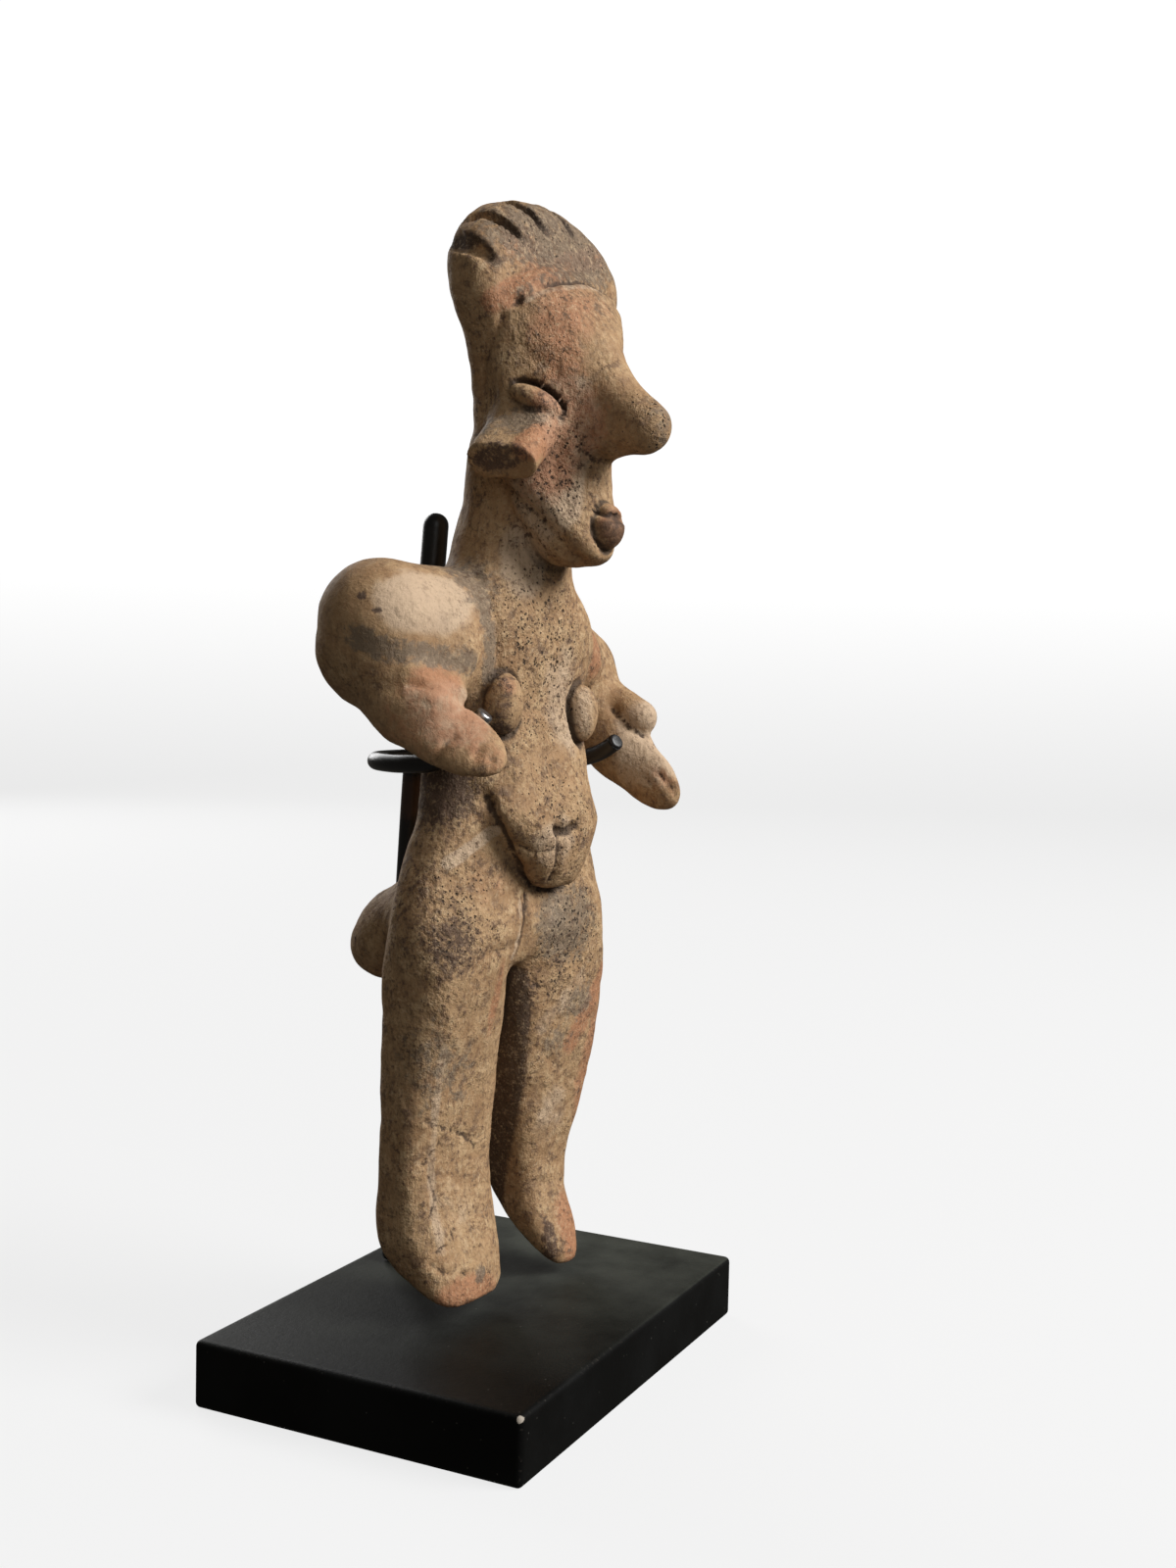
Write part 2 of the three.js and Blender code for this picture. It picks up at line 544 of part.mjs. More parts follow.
function plinthGeometry() {
  const w = PLINTH_WIDTH / 2 - PLINTH_EDGE;
  const d = PLINTH_DEPTH / 2 - PLINTH_EDGE;
  const shape = new THREE.Shape();
  shape.moveTo(-w, -d);
  shape.lineTo(w, -d);
  shape.lineTo(w, d);
  shape.lineTo(-w, d);
  shape.closePath();
  const geometry = new THREE.ExtrudeGeometry(shape, {
    depth: PLINTH_HEIGHT - 2 * PLINTH_EDGE, bevelSize: PLINTH_EDGE, bevelThickness: PLINTH_EDGE, bevelSegments: 3,
  });
  geometry.translate(0, 0, PLINTH_EDGE);
  return surface(solid(geometry));
}

function piece(name, geometry, material) {
  geometry.computeVertexNormals();
  const mesh = new THREE.Mesh(geometry, material);
  mesh.name = name;
  return mesh;
}

const group = new THREE.Group();
group.name = 'clay_figure_on_plinth';
group.add(piece('figure', place(clayGeometry()),
  new THREE.MeshStandardMaterial({ color: 0xa8865f, roughness: 0.85, metalness: 0 })));
group.add(piece('rod_mount', mountGeometry(),
  new THREE.MeshStandardMaterial({ color: 0x0b0b0c, roughness: 0.3, metalness: 0.2 })));
group.add(piece('plinth', plinthGeometry(),
  new THREE.MeshStandardMaterial({ color: 0x101112, roughness: 0.45, metalness: 0 })));

export default group;
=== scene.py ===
"""Standing woman of fired clay, held above a black plinth by bent rods."""
import math

import bmesh
import bpy
import numpy as np
from mathutils import Matrix, Vector


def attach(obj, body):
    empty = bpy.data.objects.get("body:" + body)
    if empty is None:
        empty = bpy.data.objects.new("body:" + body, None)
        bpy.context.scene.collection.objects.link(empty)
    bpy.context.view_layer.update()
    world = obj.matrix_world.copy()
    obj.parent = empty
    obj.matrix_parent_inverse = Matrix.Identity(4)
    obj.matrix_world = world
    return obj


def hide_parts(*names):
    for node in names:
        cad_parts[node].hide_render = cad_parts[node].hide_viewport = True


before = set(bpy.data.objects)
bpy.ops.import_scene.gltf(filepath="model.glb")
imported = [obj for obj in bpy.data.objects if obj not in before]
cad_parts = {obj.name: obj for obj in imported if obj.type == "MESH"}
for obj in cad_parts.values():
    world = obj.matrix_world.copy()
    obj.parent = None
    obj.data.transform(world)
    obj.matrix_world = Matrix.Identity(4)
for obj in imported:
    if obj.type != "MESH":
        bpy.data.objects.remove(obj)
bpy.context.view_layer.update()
MM = 0.001
F = np.float32
# The plinth's size and the rounding of its edges, in millimetres
WIDTH, DEPTH, HEIGHT, EDGE = 74.0, 54.0, 10.0, 0.9


# Shapes as distances, in millimetres, in the figure's own frame

def join(a, b, k):
    """Union of two shapes with a fillet k wide."""
    h = np.clip(0.5 + 0.5 * (b - a) / k, 0, 1)
    return b + (a - b) * h - k * h * (1 - h)


def keep(a, b, k):
    """What two shapes share, with its edges eased by k."""
    return -join(-a, -b, k)


def vec(*v):
    return np.array(v, F)


def axes(u, v):
    """Three square axes: along u, along the part of v square to it, and across both."""
    u = vec(*u)
    u = u / np.linalg.norm(u)
    v = vec(*v)
    v = v - u * (u @ v)
    v = v / np.linalg.norm(v)
    return np.stack([u, v, np.cross(u, v)])


def limb(p, a, b, r0, r1, slim=1.0):
    """Rounded cone between two balls, thinned across x by slim."""
    s = vec(slim, 1, 1)
    q = p / s
    a = vec(*a) / s
    d = vec(*b) / s - a
    t = np.clip(((q - a) @ d) / (d @ d), 0, 1)
    return (np.linalg.norm(q - a - t[:, None] * d, axis=1) - (r0 + (r1 - r0) * t)) * slim


def ball(p, c, r, ax=None):
    """Ellipsoid with three radii along its own axes."""
    q = p - vec(*c)
    if ax is not None:
        q = q @ ax.T
    r = vec(*r)
    k = np.linalg.norm(q / r, axis=1)
    g = np.linalg.norm(q / (r * r), axis=1)
    return k * (k - 1) / np.maximum(g, 1e-6)


def bar(p, c, half, r, ax):
    """Bar along its first axis, with a rounded section and cut ends."""
    q = np.abs((p - vec(*c)) @ ax.T)
    v = q[:, 1] - half[1] + r
    w = q[:, 2] - half[2] + r
    section = np.hypot(np.maximum(v, 0), np.maximum(w, 0)) + np.minimum(np.maximum(v, w), 0) - r
    return keep(section, q[:, 0] - half[0], 0.3)


def below(p, point, normal):
    """Half space on the far side of a plane from its normal."""
    n = vec(*normal)
    return (p - vec(*point)) @ (n / np.linalg.norm(n))


def curve(z, zs, vs):
    """Smooth curve through the heights and values, read at z."""
    zs = np.asarray(zs, F)
    vs = np.asarray(vs, F)
    m = np.gradient(vs, zs)
    i = np.clip(np.searchsorted(zs, z) - 1, 0, len(zs) - 2)
    h = zs[i + 1] - zs[i]
    t = np.clip((z - zs[i]) / h, 0, 1)
    t2 = t * t
    t3 = t2 * t
    return ((2 * t3 - 3 * t2 + 1) * vs[i] + (t3 - 2 * t2 + t) * h * m[i]
            + (3 * t2 - 2 * t3) * vs[i + 1] + (t3 - t2) * h * m[i + 1]).astype(F)


def loft(p, rows, cap):
    """Body stacked from rounded sections, with its top and bottom edges eased by cap."""
    zs, *columns = zip(*rows)
    z = p[:, 2]
    cx, cy, a, b, n = (curve(z, zs, c) for c in columns)
    u = np.abs(p[:, 0] - cx) / a + 1e-4
    v = np.abs(p[:, 1] - cy) / b + 1e-4
    k = (u ** n + v ** n) ** (1 / n)
    g = k ** (1 - n) * np.hypot(u ** (n - 1) / a, v ** (n - 1) / b)
    middle, half = (zs[0] + zs[-1]) / 2, (zs[-1] - zs[0]) / 2
    return keep((k - 1) / g, np.abs(z - middle) - half, cap)


def chain(p, points, r0, r1=None):
    """Round string through the points."""
    r1 = r0 if r1 is None else r1
    n = len(points) - 1
    parts = [limb(p, points[i], points[i + 1], r0 + (r1 - r0) * i / n, r0 + (r1 - r0) * (i + 1) / n)
             for i in range(n)]
    return np.minimum.reduce(parts)


# The clay

# Sections of each stretch: height, centre x, y, half width, half depth, squareness
TRUNK = [
    (52.5, 0, 0.7, 22.4, 6.6, 2.6), (58, 0, 0.3, 23.8, 8.0, 2.6),
    (64, 0, 0.5, 22.8, 7.4, 2.6), (69, 0, 0.5, 21.0, 7.2, 2.6), (75, 0, -0.2, 18.8, 7.3, 2.6),
    (82, -0.9, -0.1, 16.2, 7.2, 2.8), (90, -1.4, -0.5, 14.9, 7.7, 3.0), (98, -1.4, -0.9, 14.8, 8.3, 3.0),
    (106, -1.2, -0.7, 14.2, 8.7, 2.7), (112, -0.7, -0.4, 11.5, 8.5, 2.3), (118, -0.3, -0.8, 10.3, 7.8, 2.2),
    (124, 0, -1.8, 10.0, 7.0, 2.2), (131, 0, -3.4, 9.8, 6.8, 2.2),
]
RIGHT_LEG = [
    (0.6, -11.6, -2.4, 6.6, 3.4, 3), (4, -11.6, -0.4, 8.4, 5.2, 3), (8, -11.7, 1.4, 9.4, 6.4, 3),
    (13, -11.8, 2.9, 10.2, 6.3, 3), (19, -11.8, 3.3, 10.3, 5.5, 3), (31, -11.8, 2.9, 10.4, 5.4, 3),
    (38, -11.9, 2.5, 10.3, 6.0, 3), (46, -12.5, 1.5, 10.0, 6.8, 3), (53, -13.1, 0.8, 9.6, 7.5, 3),
    (64, -12.0, 0.6, 8.0, 6.2, 3),
]
LEFT_LEG = [
    (0.4, 12.3, -3.3, 2.6, 2.3, 2.6), (4, 12.3, -1.8, 4.2, 3.9, 2.6), (7, 12.3, 0.0, 5.0, 4.8, 2.8),
    (10, 12.2, 1.6, 5.4, 5.1, 3), (13.2, 12.2, 3.1, 5.7, 5.5, 3), (16, 12.2, 3.6, 6.2, 5.6, 3),
    (20, 12.2, 3.6, 7.1, 5.7, 3), (26, 12.2, 2.8, 8.9, 6.0, 3), (32, 12.2, 2.1, 10.3, 6.3, 3),
    (39, 12.0, 1.3, 11.2, 6.6, 3.2), (46, 11.2, 0.8, 12.1, 7.0, 3.3), (53, 10.4, 0.7, 12.6, 7.5, 3.2),
    (64, 11.0, 0.6, 8.5, 6.2, 3),
]
HEADDRESS = [
    (126, 0, -2.6, 9.6, 5.6, 2.4), (133, 0, -3.4, 10.6, 6.0, 2.6), (140, 0, -4.2, 12.0, 6.2, 2.8),
    (146, 0, -4.4, 14.2, 6.3, 2.8), (152, 0.2, -3.7, 17.4, 6.0, 2.8), (158, 1.0, -2.6, 20.2, 5.9, 2.8),
    (164, 2.2, -1.4, 21.8, 5.4, 2.6), (173, 3.0, 0.4, 21.8, 4.4, 2.4),
]
FACE = [
    (113.6, -1.0, -13.2, 4.6, 5.2, 2.2), (119, -0.8, -11.4, 7.0, 7.4, 1.9), (125, -0.3, -9.4, 9.4, 8.0, 1.7),
    (131, 0, -8.0, 11.6, 9.4, 1.45), (137, 0, -7.4, 12.8, 11.6, 1.3), (143, 0, -6.8, 13.6, 11.8, 1.4),
    (149, 0.4, -6.2, 14.4, 10.9, 1.7), (154, 1.2, -5.6, 14.6, 8.0, 2.0), (160, 2.0, -4.0, 13.0, 3.5, 2.0),
]
BELLY = [
    (64.8, 1.8, -5.2, 4.6, 5.0, 3.0), (67, 1.1, -5.3, 6.8, 6.2, 3.0), (70.6, 0.2, -5.4, 9.2, 7.2, 3.0),
    (75, -0.7, -5.4, 12.0, 7.5, 3.0), (81, -1.2, -4.8, 12.0, 6.2, 2.8), (89, -1.3, -3.9, 10.2, 4.3, 2.6),
]
# Centre and radius of the crest's rounded rim
FAN_X, FAN_Z, FAN_RADIUS = 2.9, 145.3, 24.1
# Radius of each slot in the crest at its rim, the share of it left at the front, and the way it runs
SLOT_RADII, SLOT_TAPER = (1.9, 1.6, 1.4, 1.2), 0.6
SLOTS = (
    ((-15.6, 1.2, 160.9), (-16.4, -3.2, 159.2), (-15.4, -6.6, 157.3)),
    ((-11.6, -0.5, 164.3), (-10.8, -4.0, 163.4), (-9.2, -6.4, 161.9)),
    ((-5.4, -1.0, 167.6), (-4.3, -4.4, 166.4), (-2.4, -6.6, 164.4)),
    ((3.6, -1.5, 169.0), (4.6, -4.8, 167.3), (6.4, -7.0, 164.3)),
)


def buttocks(p):
    """Each stump and the width of its fillet."""
    for s in (-1, 1):
        yield ball(p, (9.6 * s, 8.8, 58.6), (7.0, 13.4, 7.0), axes((s, 0, 0), (0, 0.86, -0.51))), 5
        yield limb(p, (9.4 * s, 13.4, 56.6), (8.6 * s, 16.8, 54.7), 5.6, 4.5), 3


def legs(p):
    """Both legs, cut slanting under the heels."""
    right = keep(loft(p, RIGHT_LEG, 2.5), below(p, (-11.6, 8.0, 9.3), (0, 0.514, -0.857)), 2.5)
    left = keep(loft(p, LEFT_LEG, 2.5), below(p, (12, 6.0, 10.4), (0, 0.665, -0.747)), 2.5)
    return np.minimum(right, left)


def right_arm(p):
    """Shoulder, elbow, forearm, hand, thumb, and the swell at the armpit."""
    d = limb(p, (-9, 0.2, 104.4), (-25.2, 3.8, 104.3), 8.2, 8.9)
    d = join(d, limb(p, (-25.4, 4.3, 103.6), (-25.8, 5.6, 100.2), 8.7, 7.7), 2.5)
    d = join(d, limb(p, (-26.2, 4.6, 98.8), (-25.8, -4.8, 92.0), 7.0, 4.7, 0.9), 3)
    hand = axes((0.10, -0.88, -0.42), (0.77, -0.19, 0.58))
    d = join(d, ball(p, (-25.3, -7.4, 88.7), (11.0, 5.3, 2.9), hand), 1.6)
    d = join(d, limb(p, (-27.4, -3.2, 96.4), (-22.6, -7.4, 94.0), 2.8, 1.7), 0.9)
    return join(d, ball(p, (-19.0, -1.2, 99.4), (6.0, 6.6, 6.6)), 4)


def left_arm(p):
    """Shoulder, elbow, forearm, hand and thumb."""
    d = limb(p, (8.5, 0.2, 103.2), (24.8, 6.4, 98.0), 8.0, 7.5)
    d = join(d, limb(p, (25, 6.2, 98.0), (26.0, 6.2, 95.6), 7.5, 7.3), 2.5)
    d = join(d, limb(p, (26.4, 5.6, 95.0), (26.5, -3.4, 86.0), 7.0, 5.6, 0.9), 3)
    hand = axes((-0.02, -0.80, -0.60), (0.1, -0.60, 0.80))
    d = join(d, ball(p, (26.0, -8.5, 81.9), (8.9, 4.4, 2.5), hand), 3.0)
    return join(d, limb(p, (26.8, -0.6, 93.9), (26.8, -7.3, 90.5), 3.2, 3.1), 0.7)


def crest(p):
    """Headdress, rounded above to a fan."""
    fan = np.hypot(p[:, 0] - FAN_X, p[:, 2] - FAN_Z) - FAN_RADIUS
    return keep(loft(p, HEADDRESS, 2), fan, 5)


def face(p):
    """Front of the head, with the nose's bridge and its underside."""
    d = keep(loft(p, FACE, 3), p[:, 1] + 1, 3)
    d = join(d, limb(p, (0, -13.0, 143.0), (0, -24.4, 133.8), 4.4, 3.6), 4.5)
    return join(d, limb(p, (0, -14, 133.4), (0, -23.2, 133.6), 4.4, 3.4), 2)


def ears(p):
    """Each ear, a bar with a cut end."""
    right = axes((-0.76, -0.16, -0.63), (0, 0.96, 0.28))
    left = axes((0.80, 0.04, -0.60), (0, 1.0, 0.1))
    yield bar(p, (-12.4, -9.7, 131.3), (6.2, 5.3, 2.8), 2.7, right)
    yield bar(p, (10.4, -3.8, 132.4), (5.6, 5.0, 2.4), 2.2, left)


def with_eyes(p, d):
    """Sets a bean in a pit on each side of the nose."""
    eye = axes((-0.66, -0.58, -0.42), (-0.35, -0.1, 0.9))
    for s in (-1, 1):
        q = p * vec(s, 1, 1)
        d = keep(d, -ball(q, (9.9, -11.8, 137.3), (4.6, 2.2, 1.8), eye), 0.3)
        d = join(d, ball(q, (9.8, -11.4, 136.9), (4.25, 1.8, 2.4), eye), 0.2)
    return d


def with_breasts(p, d):
    """Presses each breast into a shallow pit."""
    for x, y, z in ((-12.2, -8.4, 92.8), (7.4, -8.6, 91.4)):
        d = keep(d, -ball(p, (x, y - 0.4, z), (3.9, 1.8, 5.5)), 0.5)
        d = join(d, ball(p, (x, y + 0.1, z), (3.0, 3.0, 4.6)), 0.3)
    return d


def with_mouth(p, d):
    """Sets the ball of the mouth in a pit and parts its lips."""
    d = keep(d, -ball(p, (-0.6, -18.7, 119.4), (3.8, 2.3, 4.2)), 0.4)
    d = join(d, ball(p, (-0.4, -17.9, 119.4), (3.0, 2.6, 3.4)), 0.2)
    return keep(d, -limb(p, (-2.0, -20.3, 120.4), (2.4, -20.0, 120.6), 0.6, 0.9), 0.2)


def with_cuts(p, d):
    """Cuts the crest's slots, the navel and the groin."""
    for slot, radius in zip(SLOTS, SLOT_RADII):
        d = keep(d, -chain(p, slot, radius, radius * SLOT_TAPER), 0.3)
    d = keep(d, -limb(p, (-2.4, -13.7, 73.4), (1.8, -13.6, 73.4), 1.0, 0.9), 0.5)
    groin = ((-3.6, -8.2, 64), (-4.2, -8.3, 59.7), (-4.4, -7.6, 54.6), (-3.6, -6.4, 51))
    return keep(d, -chain(p, groin, 0.5, 1.1), 0.7)


def clay(p):
    """Distance to the surface of the whole figure, less than zero inside it."""
    d = loft(p, TRUNK, 2.5)
    for stump, fillet in buttocks(p):
        d = join(d, stump, fillet)
    d = join(d, legs(p), 1.8)
    # the belly's lower border is sharp, and its upper part runs into the trunk
    d = join(d, loft(p, BELLY, 1.2), 0.35 + 5 * np.clip((p[:, 2] - 72) / 12, 0, 1))
    d = join(d, right_arm(p), 3)
    d = join(d, left_arm(p), 3)
    d = join(d, crest(p), 4)
    d = join(d, face(p), 1.1)
    for ear in ears(p):
        d = join(d, ear, 2)
    d = with_eyes(p, d)
    d = with_breasts(p, d)
    d = with_mouth(p, d)
    return with_cuts(p, d)


def in_pieces(function, p, count=200000):
    """Value of the function at many points, worked out in parts to save memory."""
    return np.concatenate([function(p[i:i + count]) for i in range(0, len(p), count)])


# Cells along each side of the blocks that the skin looks through first, and a value far from any surface
BLOCK, FAR = 4, 9


def skin(field, low, high, cell):
    """Closed quad skin of a distance field, one vertex in each grid cell that the surface crosses."""
    low = np.array(low, F)
    n = np.ceil((np.array(high) - low) / (BLOCK * cell)).astype(int) * BLOCK + 1
    blocks = (n - 1) // BLOCK
    grid = np.stack(np.meshgrid(*[np.arange(b) for b in blocks], indexing="ij"), -1).reshape(-1, 3)
    middle = in_pieces(field, (low + (grid * BLOCK + BLOCK // 2) * cell).astype(F))
    value = np.empty(n, F)
    sign = np.where(middle < 0, -FAR, FAR).astype(F).reshape(blocks)
    for axis in range(3):
        sign = np.repeat(sign, BLOCK, axis)
    value[:-1, :-1, :-1] = sign
    value[-1] = value[:, -1] = value[:, :, -1] = FAR
    # a block's corners lie 0.87 of its side from its middle, and half as much again makes up for
    # places where the field is steeper than a true distance
    near = grid[np.abs(middle) < BLOCK * cell * 0.87 * 1.5 + 0.8]
    offsets = np.stack(np.meshgrid(*[np.arange(BLOCK + 1)] * 3, indexing="ij"), -1).reshape(-1, 3)
    ids = (near[:, None] * BLOCK + offsets).reshape(-1, 3)
    flat = np.unique(np.ravel_multi_index(ids.T, n))
    ids = np.stack(np.unravel_index(flat, n), -1)
    value.reshape(-1)[flat] = in_pieces(field, (low + ids * cell).astype(F))
    inside = value < 0
    corners = [(a, b, c) for a in (0, 1) for b in (0, 1) for c in (0, 1)]
    span = [n[0] - 1, n[1] - 1, n[2] - 1]

    def corner(array, a, b, c):
        return array[a:a + span[0], b:b + span[1], c:c + span[2]]

    count = sum(corner(inside, *c).astype(np.int8) for c in corners)
    active = (count > 0) & (count < 8)
    where = np.argwhere(active)
    index = np.full(span, -1, np.int64)
    index[active] = np.arange(len(where))
    total = np.zeros((len(where), 3), F)
    hits = np.zeros(len(where), F)
    for a, b in ((i, j) for i in range(8) for j in range(i + 1, 8)):
        ca, cb = np.array(corners[a]), np.array(corners[b])
        if np.abs(ca - cb).sum() != 1:
            continue
        va = value[tuple((where + ca).T)]
        vb = value[tuple((where + cb).T)]
        crosses = (va < 0) != (vb < 0)
        t = np.where(crosses, va / np.where(crosses, va - vb, 1), 0)
        total += np.where(crosses[:, None], ca + t[:, None] * (cb - ca), 0)
        hits += crosses
    points = low + (where + total / hits[:, None]) * cell
    faces = []
    for axis in range(3):
        u, v = (axis + 1) % 3, (axis + 2) % 3
        lead = [slice(None)] * 3
        tail = [slice(None)] * 3
        lead[axis], tail[axis] = slice(1, None), slice(None, -1)
        change = inside[tuple(lead)] != inside[tuple(tail)]
        at = np.argwhere(change)
        at = at[(at[:, u] > 0) & (at[:, v] > 0) & (at[:, u] < span[u]) & (at[:, v] < span[v])]
        out = inside[tuple(at.T)]
        ring = []
        for du, dv in ((1, 1), (0, 1), (0, 0), (1, 0)):
            beside = at.copy()
            beside[:, u] -= du
            beside[:, v] -= dv
            ring.append(index[tuple(beside.T)])
        quad = np.stack(ring, -1)
        quad[~out] = quad[~out][:, ::-1]
        faces.append(quad)
    return points.astype(F), np.concatenate(faces)


def slope(field, p, step=0.05):
    """Direction of steepest rise of a field."""
    g = np.stack([in_pieces(field, p + e) - in_pieces(field, p - e) for e in np.eye(3, dtype=F) * step], -1)
    return g / np.maximum(np.linalg.norm(g, axis=1), 1e-9)[:, None]


def onto(points):
    """Moves points that lie near the clay onto it."""
    p = np.array(points, F)
    for _ in range(4):
        p = p - slope(clay, p) * clay(p)[:, None]
    return p


# Relief and stains of the clay

# Greatest heights of raised strokes, of swollen or sunk patches, and of torn ground, in millimetres
RAISED, SWELL, TORN = 0.35, 1.2, 0.8
# Random heights at the corners of a cubic lattice, which repeats after this many cells
REPEAT = 24
lattice = np.random.default_rng(11).random((REPEAT, REPEAT, REPEAT)).astype(F)


def rough(p, size):
    """Smooth noise from 0 to 1 whose bumps are about size wide."""
    q = p / size
    cell = np.floor(q).astype(int)
    t = q - cell
    t = t * t * (3 - 2 * t)
    out = np.zeros(len(p), F)
    for a, b, c in ((a, b, c) for a in (0, 1) for b in (0, 1) for c in (0, 1)):
        w = np.abs(1 - a - t[:, 0]) * np.abs(1 - b - t[:, 1]) * np.abs(1 - c - t[:, 2])
        i = (cell + (a, b, c)) % REPEAT
        out += w * lattice[i[:, 0], i[:, 1], i[:, 2]]
    return out


# Width of a fine crack
CRACK = 0.42
# Creases, cracks and finger marks: points, width, depth, darkness (dark cracks, and painted shade in the
# creases)
GROOVES = [
    # hairline, and the fold down the temple
    (((-12.4, -9.8, 151.2), (-6.6, -11.8, 154.7), (0.6, -11.3, 156.4), (6.6, -10.8, 156.5),
      (14, -8.4, 157)), 0.7, 0.8, 0.95),
    (((-14, -8.2, 148.7), (-12.4, -9.8, 151.2)), 0.5, 0.4, 0.4),
    (((-14.1, -8.2, 148.7), (-14.1, -6.6, 145.7), (-12.9, -4, 142.5), (-12.4, -3.4, 140)), 0.5, 0.5, 0.35),
    # under the cheek and chin
    (((-10, -5.5, 125.4), (-9.1, -7.3, 124.4), (-8.5, -10.8, 120.9), (-7, -13.6, 117.2),
      (-4.2, -15.8, 113.9)), 1.0, 0.9, 0.55),
    # beside the nose, and the line of the mouth
    (((-3.5, -15, 130.5), (-1.9, -17.2, 128.8), (0.5, -18.2, 128.6)), 0.6, 0.5, 0.7),
    (((-2.7, -17.8, 121.6), (-2.8, -18.9, 121.3), (-2.1, -19.8, 121), (0.2, -20.2, 121)), 0.55, 0.8, 0.9),
    # seam between arm and chest
    (((-13.2, -3.4, 111.9), (-13.7, -7.6, 106.8), (-13.1, -8.3, 100.4), (-13.1, -7.9, 97.6)),
      0.6, 0.5, 0.5),
    (((13, -3.4, 111), (13.6, -7.2, 105), (13, -8, 99)), 0.6, 0.4, 0.4),
    # right forearm, thumb and fingers
    (((-29.4, -5, 95.4), (-26.4, -8.4, 94), (-22, -8.6, 92.2)), 0.6, 0.4, 0.35),
    (((-27.6, -9.4, 85.6), (-28.1, -10.2, 87.2), (-28.0, -11.6, 88.6)), 0.55, 0.6, 0.55),
    (((-26.0, -13.6, 84.2), (-26.4, -14.2, 85.8), (-26.2, -15.0, 87.0)), 0.55, 0.6, 0.6),
    (((-24.8, -15.6, 83.8), (-25.2, -16.2, 85.2)), 0.5, 0.5, 0.6),
    # left thumb and fingers
    (((23.4, -4.5, 91.8), (23.8, -7.4, 88.9), (25.3, -9.4, 87.7)), 0.6, 0.5, 0.8),
    (((23.7, -10.6, 80.9), (23.9, -12.6, 79.4)), 0.5, 0.5, 0.6),
    (((24.4, -13.1, 81.9), (24.7, -14.9, 79.5)), 0.5, 0.55, 0.6),
    (((25, -15.1, 80.3), (25.3, -15.7, 78)), 0.5, 0.5, 0.6),
    # border of the belly
    (((-13.8, -6.9, 78.8), (-13.1, -7.8, 76.4), (-11.8, -8.4, 74), (-9.9, -8.3, 71.8), (-7.5, -7.9, 69),
      (-4.8, -7.2, 66.3), (-1.4, -6.9, 64.6), (2, -6.9, 63.9), (6.3, -6.8, 64.1), (9.5, -7.2, 66)),
      0.7, 0.7, 0.95),
    # navel and the creases of the belly
    (((-3.8, -12.9, 74), (-1.2, -12.9, 73.4), (1.5, -12.9, 74.1)), 0.9, 0.9, 1.0),
    (((-3.6, -13, 77.4), (-4.2, -12.9, 74.2)), 0.5, 0.4, 0.4),
    (((-3.4, -12.8, 73.6), (-2.9, -12.5, 71), (-2.4, -11.8, 68.4), (-2, -10.2, 65.8)), 0.6, 0.8, 0.85),
    (((-10.2, -10, 71), (-7, -12, 70.3), (-4.6, -12.6, 70.9)), CRACK, 0.3, 0.68),
    # groin, and the cracks across the thighs
    (((-3.9, -7.2, 63.8), (-4.4, -7.7, 59.7), (-5, -7.5, 54.6)), 0.55, 0.5, 0.95),
    (((-13, -7.1, 56.2), (-8.4, -7.2, 55.9), (-5.4, -7.4, 56.8)), CRACK, 0.25, 0.61),
    (((-0.5, -6.4, 52.8), (2.2, -6.8, 53.6), (6.3, -7.2, 55.5)), CRACK, 0.25, 0.61),
    (((0.1, -5.4, 49.8), (2.5, -5.8, 48.3), (5.1, -6.4, 49.3), (7.3, -6.5, 49.3)), CRACK, 0.2, 0.68),
    (((1.9, -4.2, 39.7), (4.5, -4.6, 38), (6.7, -4.6, 36.3), (13, -4.2, 32.3), (16.5, -3.8, 30.6)),
      CRACK, 0.25, 0.54),
    (((6.6, -1.8, 21.8), (9.4, -2.4, 22.4)), CRACK, 0.2, 0.61),
    (((8, -1.4, 15.7), (11, -2.1, 15), (15.4, -1.9, 14.3)), CRACK, 0.2, 0.61),
    # cracks in the right shin and foot
    (((-19.8, -1.5, 30.7), (-16.9, -2.1, 29.6), (-12.7, -2.2, 27.8), (-7.4, -1.9, 26.1)),
      CRACK, 0.25, 0.72),
    (((-16.9, -2.1, 29.6), (-17.5, -1.8, 26.7), (-20.2, -0.8, 24.2)), CRACK, 0.25, 0.72),
    (((-12.7, -2.2, 27.8), (-8.9, -2, 25.2), (-8.3, -1.9, 23.5)), CRACK, 0.25, 0.72),
    (((-19.1, -1.3, 22.5), (-17.8, -1.8, 19.1), (-19.3, -1.8, 16.2)), CRACK, 0.22, 0.68),
    (((-21.9, 5.5, 16.7), (-22.1, 3.1, 16.1), (-21.7, 0.6, 17.2)), CRACK, 0.2, 0.68),
    (((-19.9, -2.8, 9.7), (-18.2, -4.2, 8), (-15.9, -4.8, 8.1), (-14, -5.2, 6.8)), CRACK, 0.3, 0.72),
    (((-19.1, -3, 11.3), (-16.6, -3.4, 12.2), (-15, -3.2, 14)), CRACK, 0.22, 0.68),
]

# Lines that two strokes follow: the torn edge of the headband, and a ridge across the right forearm
HEADBAND = (
    (-15.6, -7.6, 150.6), (-12, -9.7, 153.4), (-6, -10.7, 156.4), (3.2, -8.5, 160), (12.6, -6.8, 162.8),
)
SLEEVE = ((-30, -5, 94.6), (-27.4, -9.4, 93.1), (-23, -10.4, 91.4))
